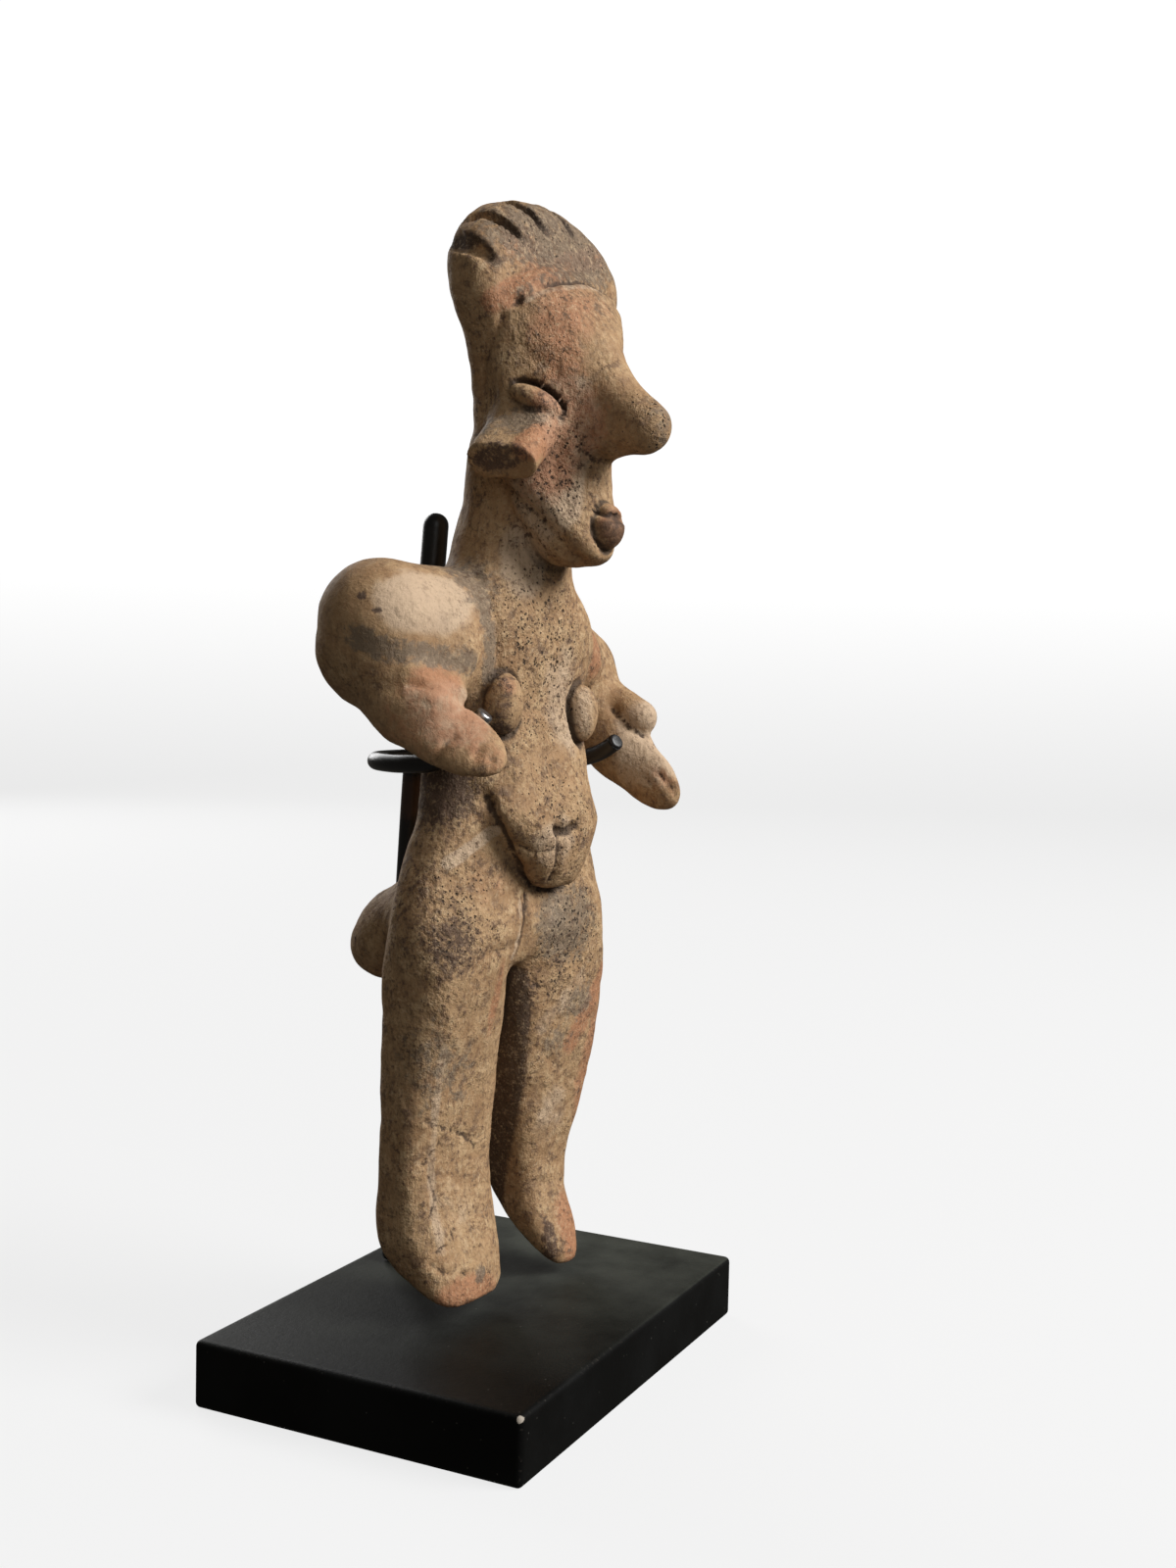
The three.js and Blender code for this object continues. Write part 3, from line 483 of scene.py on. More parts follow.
# Soft strokes: kind (staining, painted highlight, painted shade, or relief), points, width, strength
STROKES = [
    ("red", HEADBAND, 2.0, 1.0),
    ("raised", HEADBAND, 1.3, 0.35),
    ("grey", ((-12, -9.9, 152.4), (-6.3, -11.3, 155.4), (2, -10.2, 158), (10, -8.6, 159.5)), 1.3, 0.6),
    ("grey", ((-34, 1.5, 102), (-32.2, -1.1, 100.6), (-29.9, -3.7, 100), (-26, -5.8, 99.6),
     (-20.5, -7.6, 99.2)), 2.2, 0.75),
    ("raised", SLEEVE, 0.8, 0.4),
    # painted highlight along the forearm's ridge
    ("pale", SLEEVE, 0.8, 0.7),
    ("raised", ((-28, -7.4, 95.9), (-25.6, -10.4, 94.2), (-23.6, -13, 91.6)), 0.9, 0.3),
    ("grey", ((-14.6, -3.6, 111.5), (-15.2, -7, 106.8), (-14.8, -8, 101), (-14.6, -7.8, 97)), 1.7, 0.95),
    ("pale", ((-19, -4, 69.4), (-15.2, -5.4, 71.7), (-12.6, -7.3, 73.5)), 1.1, 0.9),
    ("pale", ((-5.2, -7.7, 63), (-5.8, -7.7, 58), (-6.4, -7.2, 54)), 0.6, 0.7),
    ("pale", ((4, -6, 42), (9, -6, 46), (13, -5.6, 49)), 2.2, 0.45),
    ("red", ((12, -5, 38), (16, -5, 44), (20, -4, 49)), 2.4, 0.9),
    ("pale", ((-18.3, -2, 42), (-18.6, -2, 32), (-18.6, -1.5, 22), (-18, -3, 11)), 1.0, 0.5),
    ("pale", ((-11.6, -10.6, 151.4), (-5, -12.2, 153.9), (4.9, -11, 155.4)), 0.8, 0.8),
    # painted shade on the left leg's inner side, between the legs
    ("shade_and_dark_clay", ((-0.6, -2.6, 50), (0.4, -2.4, 44.9), (1.3, -1.5, 40), (2.4, 0.2, 31.7), (4, 2.4, 24.7),
     (6, 5.2, 17.4), (7.2, 6.4, 12)), 3.0, 1.0),
    ("raised", ((-9.2, -8.4, 126), (-8.4, -12.2, 122.6), (-6.6, -14.8, 119), (-3.4, -17.2, 115.6)),
     1.3, 1.0),
    ("grey", ((-33.6, 0.9, 101.2), (-30.9, -2.7, 100.1), (-25.9, -5.7, 99.1), (-19.5, -7.7, 98.2)),
     1.6, 0.6),
    # painted shade inside the crest's slots
    *[("shade_and_dark_clay", slot, width, 0.85) for slot, width in zip(SLOTS, (1.3, 1.0, 0.9))],
]

# Rounded patches, by kind (staining, painted highlight, painted shade, or relief): centre, radii, strength
PATCHES = {
    "red": [
        ((-4, -13, 146), (9, 4, 7), 0.7), ((-8.3, -13.4, 128.5), (3.6, 3.6, 4.8), 1.0),
        ((-13, -14.6, 131), (3.2, 2.2, 2.2), 1.3), ((-15.8, -14.8, 129.6), (2.6, 2.4, 2.2), 1.2),
        ((-10.8, -13.4, 129.2), (2.2, 2.4, 3.2), 1.2), ((-5, -15, 135), (8, 6, 8), 0.7),
        ((-0.6, -20, 119.2), (3.2, 2.6, 3.8), 0.9), ((-25.5, -5, 96), (4.5, 5, 2.6), 0.8),
        ((-25, -15.6, 85), (2.5, 2.5, 2), 0.6), ((-24.5, -10, 90), (4, 6, 4), 0.5),
        ((18.2, -5, 100.4), (4, 5, 4.5), 0.9), ((24.2, -12.6, 81), (1.6, 2, 2.4), 0.6),
        ((25, -15, 79.6), (1.4, 1.6, 2), 0.5), ((24.4, -3, 92), (2, 2, 2), 0.4),
        ((-14, -5.5, 3.6), (7, 4.5, 3.6), 1.0), ((14, -4, 6), (3.6, 4, 8), 1.0),
        ((-9.1, -5.5, 48.8), (1.3, 3, 7), 0.8), ((20, -2, 34), (4.5, 5, 14), 1.0),
        ((-13.2, -9.6, 95.2), (2, 2, 2.4), 0.5), ((-9, -8, 160), (5, 3, 4), 0.7),
        ((-2, -12.5, 150), (11, 4, 7), 0.55), ((-27, -8, 90.5), (7, 9, 6.5), 0.62),
        ((-9.9, -13.2, 136.9), (3.6, 2.4, 1.6), 0.6), ((-12, -6, 66), (5, 4, 5), 0.4),
        ((-8.5, -12, 125), (3.5, 4, 4), 0.45),
    ],
    "grey": [
        ((0, -7, 164), (22, 6, 7.5), 0.95), ((-12.4, -11.2, 134), (4.5, 3.4, 2.0), 0.95),
        ((-14.5, -9, 132.6), (3, 5, 2.5), 0.7), ((-14.5, -3, 110), (4.5, 5, 6), 0.9),
        ((9, -7, 58), (8, 4, 6.5), 0.9), ((13, -6, 45), (4, 3, 3), 0.85), ((8, -6, 39), (4, 3, 3), 0.7),
        ((0, -27, 134), (4, 3, 5), 0.6), ((-20, -1, 40), (3, 5, 9), 0.6),
        ((-11, -5.3, 6.4), (1.5, 1.5, 1.3), 1.0), ((-14, -2.8, 33.9), (1.8, 1.5, 0.8), 1.0),
        ((-15, -3.4, 39), (4, 3, 4), 0.6), ((27, -9, 90.5), (2, 3, 2), 0.35),
        ((-20, -8.5, 98.6), (3, 2, 2), 0.5), ((2, -9, 159.8), (14, 4, 3.5), 0.6),
        ((4, -7.6, 59), (6, 3, 5), 0.9),
    ],
    # soot stains, with painted shade at the waist under the right arm, in the armpit, around the breasts, on
    # the ear's cut end, under the jaw and between the legs
    "soot_and_shade": [
        ((-17.7, -1.3, 80), (5.5, 6, 6), 1.0), ((-14.4, -8, 88), (3, 3, 3), 0.6),
        ((-19.2, -5.7, 57), (5.5, 3.5, 4.5), 0.62), ((-21, -2, 62), (7, 8, 10), 0.42),
        ((-13.4, -9, 88.4), (2.2, 2, 1.4), 0.9), ((-13.6, -9, 93.4), (1.6, 2, 4.6), 0.75),
        ((8.9, -4.3, 6.3), (1, 2.4, 4.5), 0.95), ((17.2, -3.4, 28.9), (0.55, 1.5, 0.55), 2.0),
        ((-33, 1, 107.4), (0.8, 1, 0.8), 1.2), ((-32.6, -1, 105.6), (0.7, 1, 0.5), 1.2),
        ((-6.9, -8.4, 117.9), (0.6, 1, 0.5), 1.6), ((-0.4, -19.5, 119), (3.2, 3, 3.8), 0.3),
        ((-18, -11, 127.4), (2.2, 6, 3), 0.85), ((-9.9, -13.2, 136.9), (3.6, 2.4, 1.6), 0.5),
        ((-13.2, -3, 112), (2.5, 2, 2), 0.5), ((-10, -7, 122), (2.5, 2.5, 3), 0.2),
        ((12, -8, 90), (4, 2, 8), 0.4), ((0.5, -4.6, 44), (2, 3, 9), 0.6),
        ((1.5, -3.5, 28), (2.4, 3, 10), 0.5), ((5, -7, 50), (3, 3, 6), 0.4),
    ],
    # darker clay on the mouth, the crest's front and the forehead
    "shade_and_dark_clay": [
        ((-0.8, -20, 118.8), (3.6, 2.9, 3.8), 0.72), ((0, -6, 164), (24, 8, 9), 0.4),
        ((0, -12, 152), (20, 5, 9), 0.42),
    ],
    "smooth": [
        ((-0.8, -20, 118.8), (3.6, 2.9, 3.8), 1.0), ((-30, 0, 106), (14, 12, 8), 1.0),
        ((-26, -8, 91), (7, 12, 8), 1.0), ((-12.2, -10, 92.8), (3, 4, 5), 0.7),
        ((26, -8, 86), (6, 9, 10), 0.6), ((-14, -11, 129), (5, 7, 5), 0.7), ((0, -24, 136), (6, 8, 8), 0.5),
        ((0, 10, 95), (40, 6, 60), 0.5),
    ],
    "swell": [
        ((-9.4, -9.5, 124.5), (4, 4.5, 6), 0.9), ((-29.7, -0.2, 90.6), (4.5, 5, 3.6), 1.0),
    ],
    "sink": [
        ((-32.2, 6.7, 95), (4, 4.5, 4.5), 0.9),
    ],
    # lighter clay, with painted highlights on the right shoulder, the forearms and hands, and the cheek and
    # jaw
    "pale": [
        ((-26, -5, 107.5), (9, 6, 5), 0.9), ((-25.6, -9, 91), (5, 7, 5), 0.8),
        ((26, -10, 86), (5, 7, 7), 1.0), ((-7, -15, 133), (5, 5, 8), 0.9),
        ((-7.5, -12.6, 124), (4, 5, 6), 1.2), ((-7, -8, 114), (4, 4, 6), 0.8),
        ((-14, -2, 18), (5, 3, 9), 0.3), ((4, -12, 150), (5, 3, 6), 0.4), ((-4, -13, 72), (6, 3, 5), 0.5),
        ((2, -10, 93), (6, 3, 9), 0.6), ((10, -3, 26), (4, 3, 7), 0.5), ((4, -7, 60), (3, 2, 4), 0.4),
    ],
    "pitted": [
        ((-4, -9, 100), (10, 6, 15), 1.0), ((-2, -13, 76), (10, 4, 8), 0.8),
        ((-18, -5, 62), (7, 6, 9), 0.8), ((0, -26, 134), (5, 5, 5), 0.8), ((8, -7, 56), (9, 5, 12), 1.0),
        ((-8, -13, 128), (6, 6, 9), 1.0), ((0, -8, 163), (18, 6, 6), 0.6), ((-7, -12, 147), (7, 4, 6), 0.5),
    ],
    "torn": [
        ((-8, -11, 124), (4, 5, 5), 1.0), ((-4.5, -14.5, 131), (4.5, 4, 6), 1.0),
        ((-8, -12, 143), (5, 4, 4), 0.7),
    ],
}


def relief(p):
    """Height of the fine relief above the clay, and the masks of its staining, its painted highlights and
    shading, and its surfaces.
    """
    mask_names = ("red", "grey", "soot_and_shade", "pale", "shade_and_dark_clay", "pitted", "smooth", "torn", "crack_and_crease_shade")
    clear = {name: np.ones(len(p), F) for name in mask_names + ("raised", "swell", "sink")}
    for name, patches in PATCHES.items():
        for centre, radii, strength in patches:
            d = np.linalg.norm((p - vec(*centre)) / vec(*radii), axis=1)
            clear[name] *= 1 - np.clip(strength * np.exp(-d ** 4 * 0.7), 0, 1)
    for name, line, width, strength in STROKES:
        d = chain(p, onto(line), 0.0) / width
        clear[name] *= 1 - strength * np.exp(-d ** 4)
    height = (1 - clear["raised"]) * RAISED + (clear["sink"] - clear["swell"]) * SWELL
    # unevenness of three sizes, the finer two away from what was rubbed smooth
    height += 0.24 * (rough(p, 7) - 0.5)
    height += clear["smooth"] ** 0.7 * (0.24 * (rough(p, 3.1) - 0.5) + 0.18 * (rough(p, 1.5) - 0.5))
    ragged = np.clip(rough(p, 2.0) + rough(p * vec(1, 1, 0.6), 1.1) - 1.0, 0, 1)
    height -= (1 - clear["torn"]) * TORN * ragged
    # grooves, whose width and depth waver along them; their darkness paints dark cracks, and shade in the
    # creases
    wobble = rough(p, 2.2)
    for line, width, depth, crack_and_crease_shade in GROOVES:
        d = chain(p, onto(line), 0.0) / (width * (0.7 + 0.6 * wobble))
        height -= depth * (0.6 + 0.8 * wobble) * np.exp(-d * d)
        clear["crack_and_crease_shade"] *= 1 - crack_and_crease_shade * np.exp(-(d * 1.1) ** 2)
    return height, {name: 1 - clear[name] for name in mask_names}


# Meshes

# The figure's turn about the vertical, and the place of its own frame's origin, in millimetres
TURN = math.radians(-7.5)
PLACE = (4, 0, HEIGHT)


def to_row(p):
    """From the figure's own frame, in millimetres, to the row's frame, in metres."""
    c, s = math.cos(TURN), math.sin(TURN)
    x, y = p[:, 0] * c - p[:, 1] * s, p[:, 0] * s + p[:, 1] * c
    return np.stack([x + PLACE[0], y + PLACE[1], p[:, 2] + PLACE[2]], -1) * MM


def make_mesh(name, points, faces, masks):
    """Smooth mesh object in the row's frame, with a number at each point for every mask."""
    mesh = bpy.data.meshes.new(name)
    mesh.from_pydata(points.tolist(), [], [tuple(face) for face in faces])
    mesh.polygons.foreach_set("use_smooth", np.ones(len(mesh.polygons), bool))
    for key, values in masks.items():
        layer = mesh.attributes.new(key, "FLOAT", "POINT")
        layer.data.foreach_set("value", np.asarray(values, F))
    mesh.update()
    piece = bpy.data.objects.new(name, mesh)
    bpy.context.collection.objects.link(piece)
    return piece


def centripetal(points, count):
    """Smooth curve through the points, evenly spaced in its own measure."""
    p = np.array(points, float)
    p = np.vstack([2 * p[0] - p[1], p, 2 * p[-1] - p[-2]])
    out = []
    for s in np.linspace(0, len(p) - 3, count):
        i = min(int(s), len(p) - 4)
        t = s - i
        q = p[i:i + 4]
        d = [max(np.linalg.norm(q[j + 1] - q[j]) ** 0.5, 1e-4) for j in range(3)]
        m1 = (q[1] - q[0]) / d[0] - (q[2] - q[0]) / (d[0] + d[1]) + (q[2] - q[1]) / d[1]
        m2 = (q[2] - q[1]) / d[1] - (q[3] - q[1]) / (d[1] + d[2]) + (q[3] - q[2]) / d[2]
        m1, m2 = m1 * d[1], m2 * d[1]
        out.append((2 * t ** 3 - 3 * t ** 2 + 1) * q[1] + (t ** 3 - 2 * t ** 2 + t) * m1
                   + (3 * t ** 2 - 2 * t ** 3) * q[2] + (t ** 3 - t ** 2) * m2)
    return np.array(out)


# Rounding of a rod's end, as a share of its radius
CUT_EASE, DOME_EASE = 0.35, 0.96


def tube(path, radii, sides=28, dome=False):
    """Closed round rod along a path. Its first end is cut, and the other is cut or domed."""
    tangent = np.gradient(path, axis=0)
    tangent /= np.linalg.norm(tangent, axis=1)[:, None]
    side = np.cross(tangent[0], (0.3, 0.9, 0.1))
    bend = [math.pi / 2 * k / 6 for k in range(7)]
    last = len(path) - 1
    rings = []
    for i, (c, t, radius) in enumerate(zip(path, tangent, radii)):
        side = side - t * (side @ t)
        side = side / np.linalg.norm(side)
        other = np.cross(t, side)
        ease = radius * (DOME_EASE if dome and i == last else CUT_EASE)
        flat = radius - ease
        turn = [(0, radius)]
        if i == 0:
            turn = [(ease * (1 - math.cos(a)), flat + ease * math.sin(a)) for a in bend]
        if i == last:
            drop = 0 if dome else 1
            turn = [(ease * (math.sin(a) - drop), flat + ease * math.cos(a)) for a in bend]
        rings += [(c + t * h, r, side, other) for h, r in turn]
    angle = np.linspace(0, 2 * math.pi, sides, endpoint=False)
    points = [c + r * (np.outer(np.cos(angle), u) + np.outer(np.sin(angle), v)) for c, r, u, v in rings]
    faces = [tuple(reversed(range(sides)))]
    for i in range(len(rings) - 1):
        for j in range(sides):
            k = (j + 1) % sides
            faces.append((i * sides + j, i * sides + k, (i + 1) * sides + k, (i + 1) * sides + j))
    faces.append(tuple((len(rings) - 1) * sides + j for j in range(sides)))
    return np.concatenate(points), faces


# Materials

class Graph:
    """Node material whose nodes are added one by one."""

    def __init__(self, name):
        self.material = bpy.data.materials.new(name)
        self.material.use_nodes = True
        self.tree = self.material.node_tree
        self.tree.nodes.clear()
        self.output = self.add("ShaderNodeOutputMaterial")

    def add(self, kind, inputs=None, **settings):
        made = self.tree.nodes.new(kind)
        for key, value in settings.items():
            setattr(made, key, value)
        for key, value in (inputs or {}).items():
            self.feed(made.inputs[key], value)
        return made

    def feed(self, socket, value):
        if isinstance(value, bpy.types.NodeSocket):
            self.tree.links.new(value, socket)
        elif isinstance(value, tuple) and len(value) == 3 and socket.type == "RGBA":
            socket.default_value = (*value, 1)
        else:
            socket.default_value = value

    def math(self, operation, a, b):
        return self.add("ShaderNodeMath", {0: a, 1: b}, operation=operation).outputs[0]

    def plus(self, a, b):
        return self.math("ADD", a, b)

    def minus(self, a, b):
        return self.math("SUBTRACT", a, b)

    def times(self, a, b):
        return self.math("MULTIPLY", a, b)

    def mix(self, factor, a, b):
        made = self.add("ShaderNodeMix", data_type="RGBA")
        self.feed(made.inputs[0], factor)
        self.feed(made.inputs[6], a)
        self.feed(made.inputs[7], b)
        return made.outputs[2]

    def ramp(self, value, low, high):
        """0 at low, 1 at high, with eased ends."""
        made = self.add("ShaderNodeMapRange", {"Value": value, "From Min": low, "From Max": high},
                        interpolation_type="SMOOTHSTEP")
        return made.outputs[0]

    def mask(self, name):
        return self.add("ShaderNodeAttribute", attribute_name=name).outputs["Fac"]

    def vector(self, operation, a, b):
        return self.add("ShaderNodeVectorMath", {0: a, 1: b}, operation=operation).outputs[0]

    def place(self, scale=(1, 1, 1)):
        """Object coordinates in millimetres, times a scale for each axis."""
        at = self.add("ShaderNodeTexCoord").outputs["Object"]
        return self.vector("MULTIPLY", at, tuple(1000 * s for s in scale))

    def noise(self, at, size, detail=3.0, rough=0.55, twist=0.0):
        made = self.add("ShaderNodeTexNoise", {"Vector": at, "Scale": 1 / size, "Detail": detail,
                                               "Roughness": rough, "Distortion": twist})
        return made.outputs["Fac"]

    def warp(self, at, size, amount):
        """Coordinates pushed about by a noise."""
        made = self.add("ShaderNodeTexNoise", {"Vector": at, "Scale": 1 / size, "Detail": 2.0})
        shift = self.vector("SUBTRACT", made.outputs["Color"], (0.5, 0.5, 0.5))
        return self.vector("ADD", at, self.vector("MULTIPLY", shift, (amount, amount, amount)))

    def cells(self, at, size):
        """Distance to the nearest of scattered points about size apart."""
        return self.add("ShaderNodeTexVoronoi", {"Vector": at, "Scale": 1 / size}).outputs["Distance"]

    def bump(self, height, depth):
        """Depth is in millimetres for a height of one."""
        inputs = {"Height": height, "Distance": depth * MM, "Strength": 1.0}
        return self.add("ShaderNodeBump", inputs).outputs[0]

    def surface(self, **inputs):
        shader = self.add("ShaderNodeBsdfPrincipled")
        for key, value in inputs.items():
            self.feed(shader.inputs[key.replace("_", " ")], value)
        self.feed(self.output.inputs["Surface"], shader.outputs[0])
        return self.material


def clay_material():
    """Unglazed buff clay: mottled body, then staining, painted highlights and shading, specks, cracks and
    pits.
    """
    g = Graph("fired_clay")
    at = g.place()
    bent = g.warp(at, 2.0, 1.6)
    patches = g.noise(at, 6.0, 5, 0.62, 0.5)
    mottle = g.noise(bent, 2.4, 5, 0.68)
    fine = g.noise(at, 0.9, 4, 0.68)
    grain = g.noise(at, 0.38, 3, 0.66)
    streak = g.noise(g.place((1.6, 1.6, 0.28)), 0.9, 4, 0.6)

    # how rugged the ground is: least where it was rubbed smooth
    uneven = g.ramp(g.noise(at, 4.0, 4), 0.38, 0.6)
    rugged = g.minus(1.0, g.times(g.mask("smooth"), 0.7))
    rugged = g.times(rugged, g.plus(0.66, g.times(uneven, 0.68)))

    def fleck(colour, field, start, end, strength, tone):
        """Flecks of a tone where the field lies past start, towards end."""
        amount = g.times(g.ramp(field, start, end), strength)
        return g.mix(g.times(amount, rugged), colour, tone)

    def tint(colour, name, edge, tone, strength, spread, start, end):
        """Tint of a tone under a mask, for staining and painted light alike, its edge broken up by a field.
        """
        amount = g.plus(g.mask(name), g.times(g.minus(edge, 0.52), spread))
        return g.mix(g.times(g.ramp(amount, start, end), strength), colour, tone)

    colour = g.mix(g.ramp(patches, 0.36, 0.64), (0.365, 0.215, 0.107), (0.455, 0.288, 0.15))
    colour = fleck(colour, mottle, 0.50, 0.66, 0.75, (0.56, 0.38, 0.21))
    colour = fleck(colour, mottle, 0.48, 0.34, 0.8, (0.19, 0.115, 0.068))
    ash = g.noise(bent, 1.5, 5, 0.72)
    soot_and_shade_edge = g.noise(bent, 0.9, 5, 0.74)
    # lighter clay, and painted highlights where the light falls on ridges and planes
    colour = tint(colour, "pale", patches, (0.62, 0.465, 0.325), 0.72, 1.0, 0.22, 0.62)
    colour = tint(colour, "red", mottle, (0.42, 0.18, 0.09), 0.75, 1.5, 0.25, 0.85)
    colour = tint(colour, "grey", ash, (0.185, 0.145, 0.105), 0.78, 2.6, 0.3, 0.8)
    # soot, and painted shade where the soot mask marks places in shadow
    colour = tint(colour, "soot_and_shade", soot_and_shade_edge, (0.066, 0.042, 0.037), 0.82, 2.6, 0.3, 0.8)
    # painted shade between the legs and in the crest's slots, and darker clay on the mouth, crest and
    # forehead
    colour = tint(colour, "shade_and_dark_clay", fine, (0.06, 0.038, 0.025), 0.86, 0.7, 0.25, 0.8)
    colour = fleck(colour, fine, 0.52, 0.66, 0.75, (0.14, 0.082, 0.05))
    colour = fleck(colour, fine, 0.46, 0.34, 0.4, (0.60, 0.43, 0.26))
    colour = fleck(colour, streak, 0.54, 0.70, 0.5, (0.18, 0.11, 0.065))
    colour = fleck(colour, grain, 0.54, 0.70, 0.3, (0.68, 0.51, 0.33))
    colour = fleck(colour, grain, 0.44, 0.30, 0.4, (0.13, 0.08, 0.05))

    # painted shade in the hollows, and the cracks, with painted shade along the creases
    hollow_shade = g.ramp(g.mask("hollow_shade"), 0.2, 0.9)
    colour = g.mix(g.times(hollow_shade, 0.85), colour, (0.05, 0.032, 0.022))
    # dark cracks, and painted shade along the creases
    crease_shade_and_cracks = g.ramp(g.plus(g.mask("crack_and_crease_shade"), g.times(g.minus(fine, 0.5), 1.1)), 0.3, 0.75)
    colour = g.mix(g.times(crease_shade_and_cracks, 0.85), colour, (0.05, 0.03, 0.02))

    # pits of two sizes, in clusters
    size = g.plus(0.06, g.times(g.mask("pitted"), 0.18))
    pits = g.ramp(g.minus(size, g.cells(g.warp(at, 0.7, 0.6), 1.2)), -0.01, 0.05)
    pits = g.times(pits, g.ramp(g.noise(at, 1.9, 2), 0.43, 0.54))
    small = g.ramp(g.minus(g.times(size, 1.5), g.cells(g.warp(at, 0.4, 0.35), 0.6)), -0.02, 0.06)
    small = g.times(small, g.ramp(g.noise(at, 1.2, 2), 0.48, 0.60))
    pits = g.math("MAXIMUM", pits, small)
    colour = g.mix(g.times(pits, 0.88), colour, (0.034, 0.022, 0.016))

    worn = g.plus(0.5, g.ramp(g.plus(patches, g.times(g.mask("pitted"), 0.3)), 0.4, 0.8))
    height = g.times(worn, g.plus(g.times(fine, 0.9), g.times(grain, 0.22)))
    height = g.times(g.plus(height, g.times(streak, 0.5)), rugged)
    height = g.plus(height, mottle)
    torn = g.times(g.noise(bent, 0.8, 3, 0.7), g.mask("torn"))
    height = g.plus(height, g.times(torn, 2.4))
    height = g.minus(height, g.times(pits, 1.6))
    rough_skin = g.plus(0.58, g.times(fine, 0.3))
    return g.surface(Base_Color=colour, Roughness=rough_skin, Normal=g.bump(height, 0.30),
                     Specular_IOR_Level=0.28)


def rod_material():
    """Gloss black paint with a little dust, a painted brownish reflection of the clay, and bare steel where
    it is masked.
    """
    g = Graph("black_rod")
    at = g.place()
    speck = g.noise(at, 0.5, 4, 0.7)
    dust = g.times(g.ramp(g.noise(at, 2.2, 5, 0.7), 0.52, 0.75), 0.25)
    colour = g.mix(dust, (0.008, 0.008, 0.009), (0.045, 0.043, 0.04))
    # painted reflection of the clay, brownish, on the post
    clay_reflection = g.times(g.ramp(g.plus(g.mask("clay_reflection"), speck), 1.0, 1.3), 0.5)
    colour = g.mix(clay_reflection, colour, (0.10, 0.045, 0.025))
    bare = g.ramp(g.plus(g.mask("bare"), g.times(speck, 0.5)), 0.72, 0.80)
    colour = g.mix(bare, colour, (0.42, 0.42, 0.43))
    gloss = g.plus(0.27, g.times(speck, 0.16))
    return g.surface(Base_Color=colour, Roughness=gloss, Metallic=bare, Normal=g.bump(speck, 0.03))


def plinth_material():
    """Satin black lacquer with dust and a painted sheen on top, rubbed edges and a bare corner."""
    g = Graph("black_plinth")
    at = g.place()
    cloud = g.noise(at, 14, 4, 0.6)
    grain = g.noise(at, 0.8, 4, 0.7)
    colour = g.mix(g.ramp(cloud, 0.35, 0.7), (0.0022, 0.0022, 0.002), (0.005, 0.0052, 0.005))
    # dust on the top, with a painted sheen standing in for the backdrop's reflection
    top_dust_and_sheen = g.times(g.mask("dust_and_sheen"), g.ramp(cloud, 0.1, 0.8))
    colour = g.mix(top_dust_and_sheen, colour, (0.072, 0.076, 0.062))
    specks = g.times(g.ramp(g.cells(at, 1.7), 0.10, 0.03), g.ramp(g.noise(at, 7, 3), 0.42, 0.62))
    colour = g.mix(g.times(specks, 0.5), colour, (0.16, 0.15, 0.13))
    worn = g.plus(g.mask("worn"), g.times(g.minus(grain, 0.5), 0.9))
    colour = g.mix(g.times(g.ramp(worn, 0.5, 0.85), 0.6), colour, (0.10, 0.085, 0.07))
    bare = g.ramp(g.plus(g.mask("bare"), g.minus(grain, 0.5)), 0.5, 0.7)
    colour = g.mix(bare, colour, (0.42, 0.37, 0.31))
    satin = g.plus(0.42, g.times(cloud, 0.22))
    return g.surface(Base_Color=colour, Roughness=satin, Normal=g.bump(g.plus(grain, cloud), 0.05),
                     Specular_IOR_Level=0.12)


# The clay figure

CELL = 0.62
LOWEST, HIGHEST = (-37, -31, -2), (37, 27, 172)
# How far out the hollows are felt, for the painted shade in them
FEEL = 1.6

points, quads = skin(clay, LOWEST, HIGHEST, CELL)
for _ in range(2):
    points = points - slope(clay, points) * in_pieces(clay, points)[:, None]
normal = slope(clay, points)
# painted shade: the deeper a point lies in a hollow, the darker its colour is painted
hollow_shade = 1 - (in_pieces(clay, points + normal * FEEL) - in_pieces(clay, points)) / FEEL
height, masks = relief(points)
surface = to_row(points + normal * height[:, None])
figure = make_mesh("clay_woman", surface, quads, {"hollow_shade": hollow_shade, **masks})
figure.data.materials.append(clay_material())
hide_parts("figure")
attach(figure, "root")

# The rods, in the figure's own frame

POST_RADIUS, YOKE_RADIUS = 1.7, 1.35
POST = [
    (0, 21.4, 0.35), (0, 20.6, 30), (0, 20.0, 56), (0, 19.4, 68), (0, 18.4, 83.6), (0, 15.5, 112),
    (0, 14.8, 120.6),
]
YOKE = [
    (-17.5, -9.2, 91.5), (-18.5, -6, 87.6), (-19.4, -1.5, 84.2), (-19.9, 4, 83.6), (-18.2, 10.2, 83.6),
    (-13, 14.8, 83.6), (-6, 16.3, 83.6), (0, 16.5, 83.6), (6, 16.0, 83.6), (12, 14.2, 83.6),
    (17.2, 9.6, 83.6), (19.2, 4, 83.6), (19.2, -1.5, 83.8), (18.9, -5.4, 85.0), (18.3, -8.8, 86.9),
]
# The post grows thicker from the height TAPER up, and shows a painted brownish reflection of the clay about
# the height set below.
THICKER, TAPER, TAPER_LENGTH = 0.35, 103, 5
REFLECTION_HEIGHT, REFLECTION_SPREAD = 77, 5
# How far bare steel shows from the yoke's right end and from its left end
BARE_ENDS = (1.9, 0.8)
# Places along each rod at which it is shaped
RINGS = 120
black_rod = rod_material()


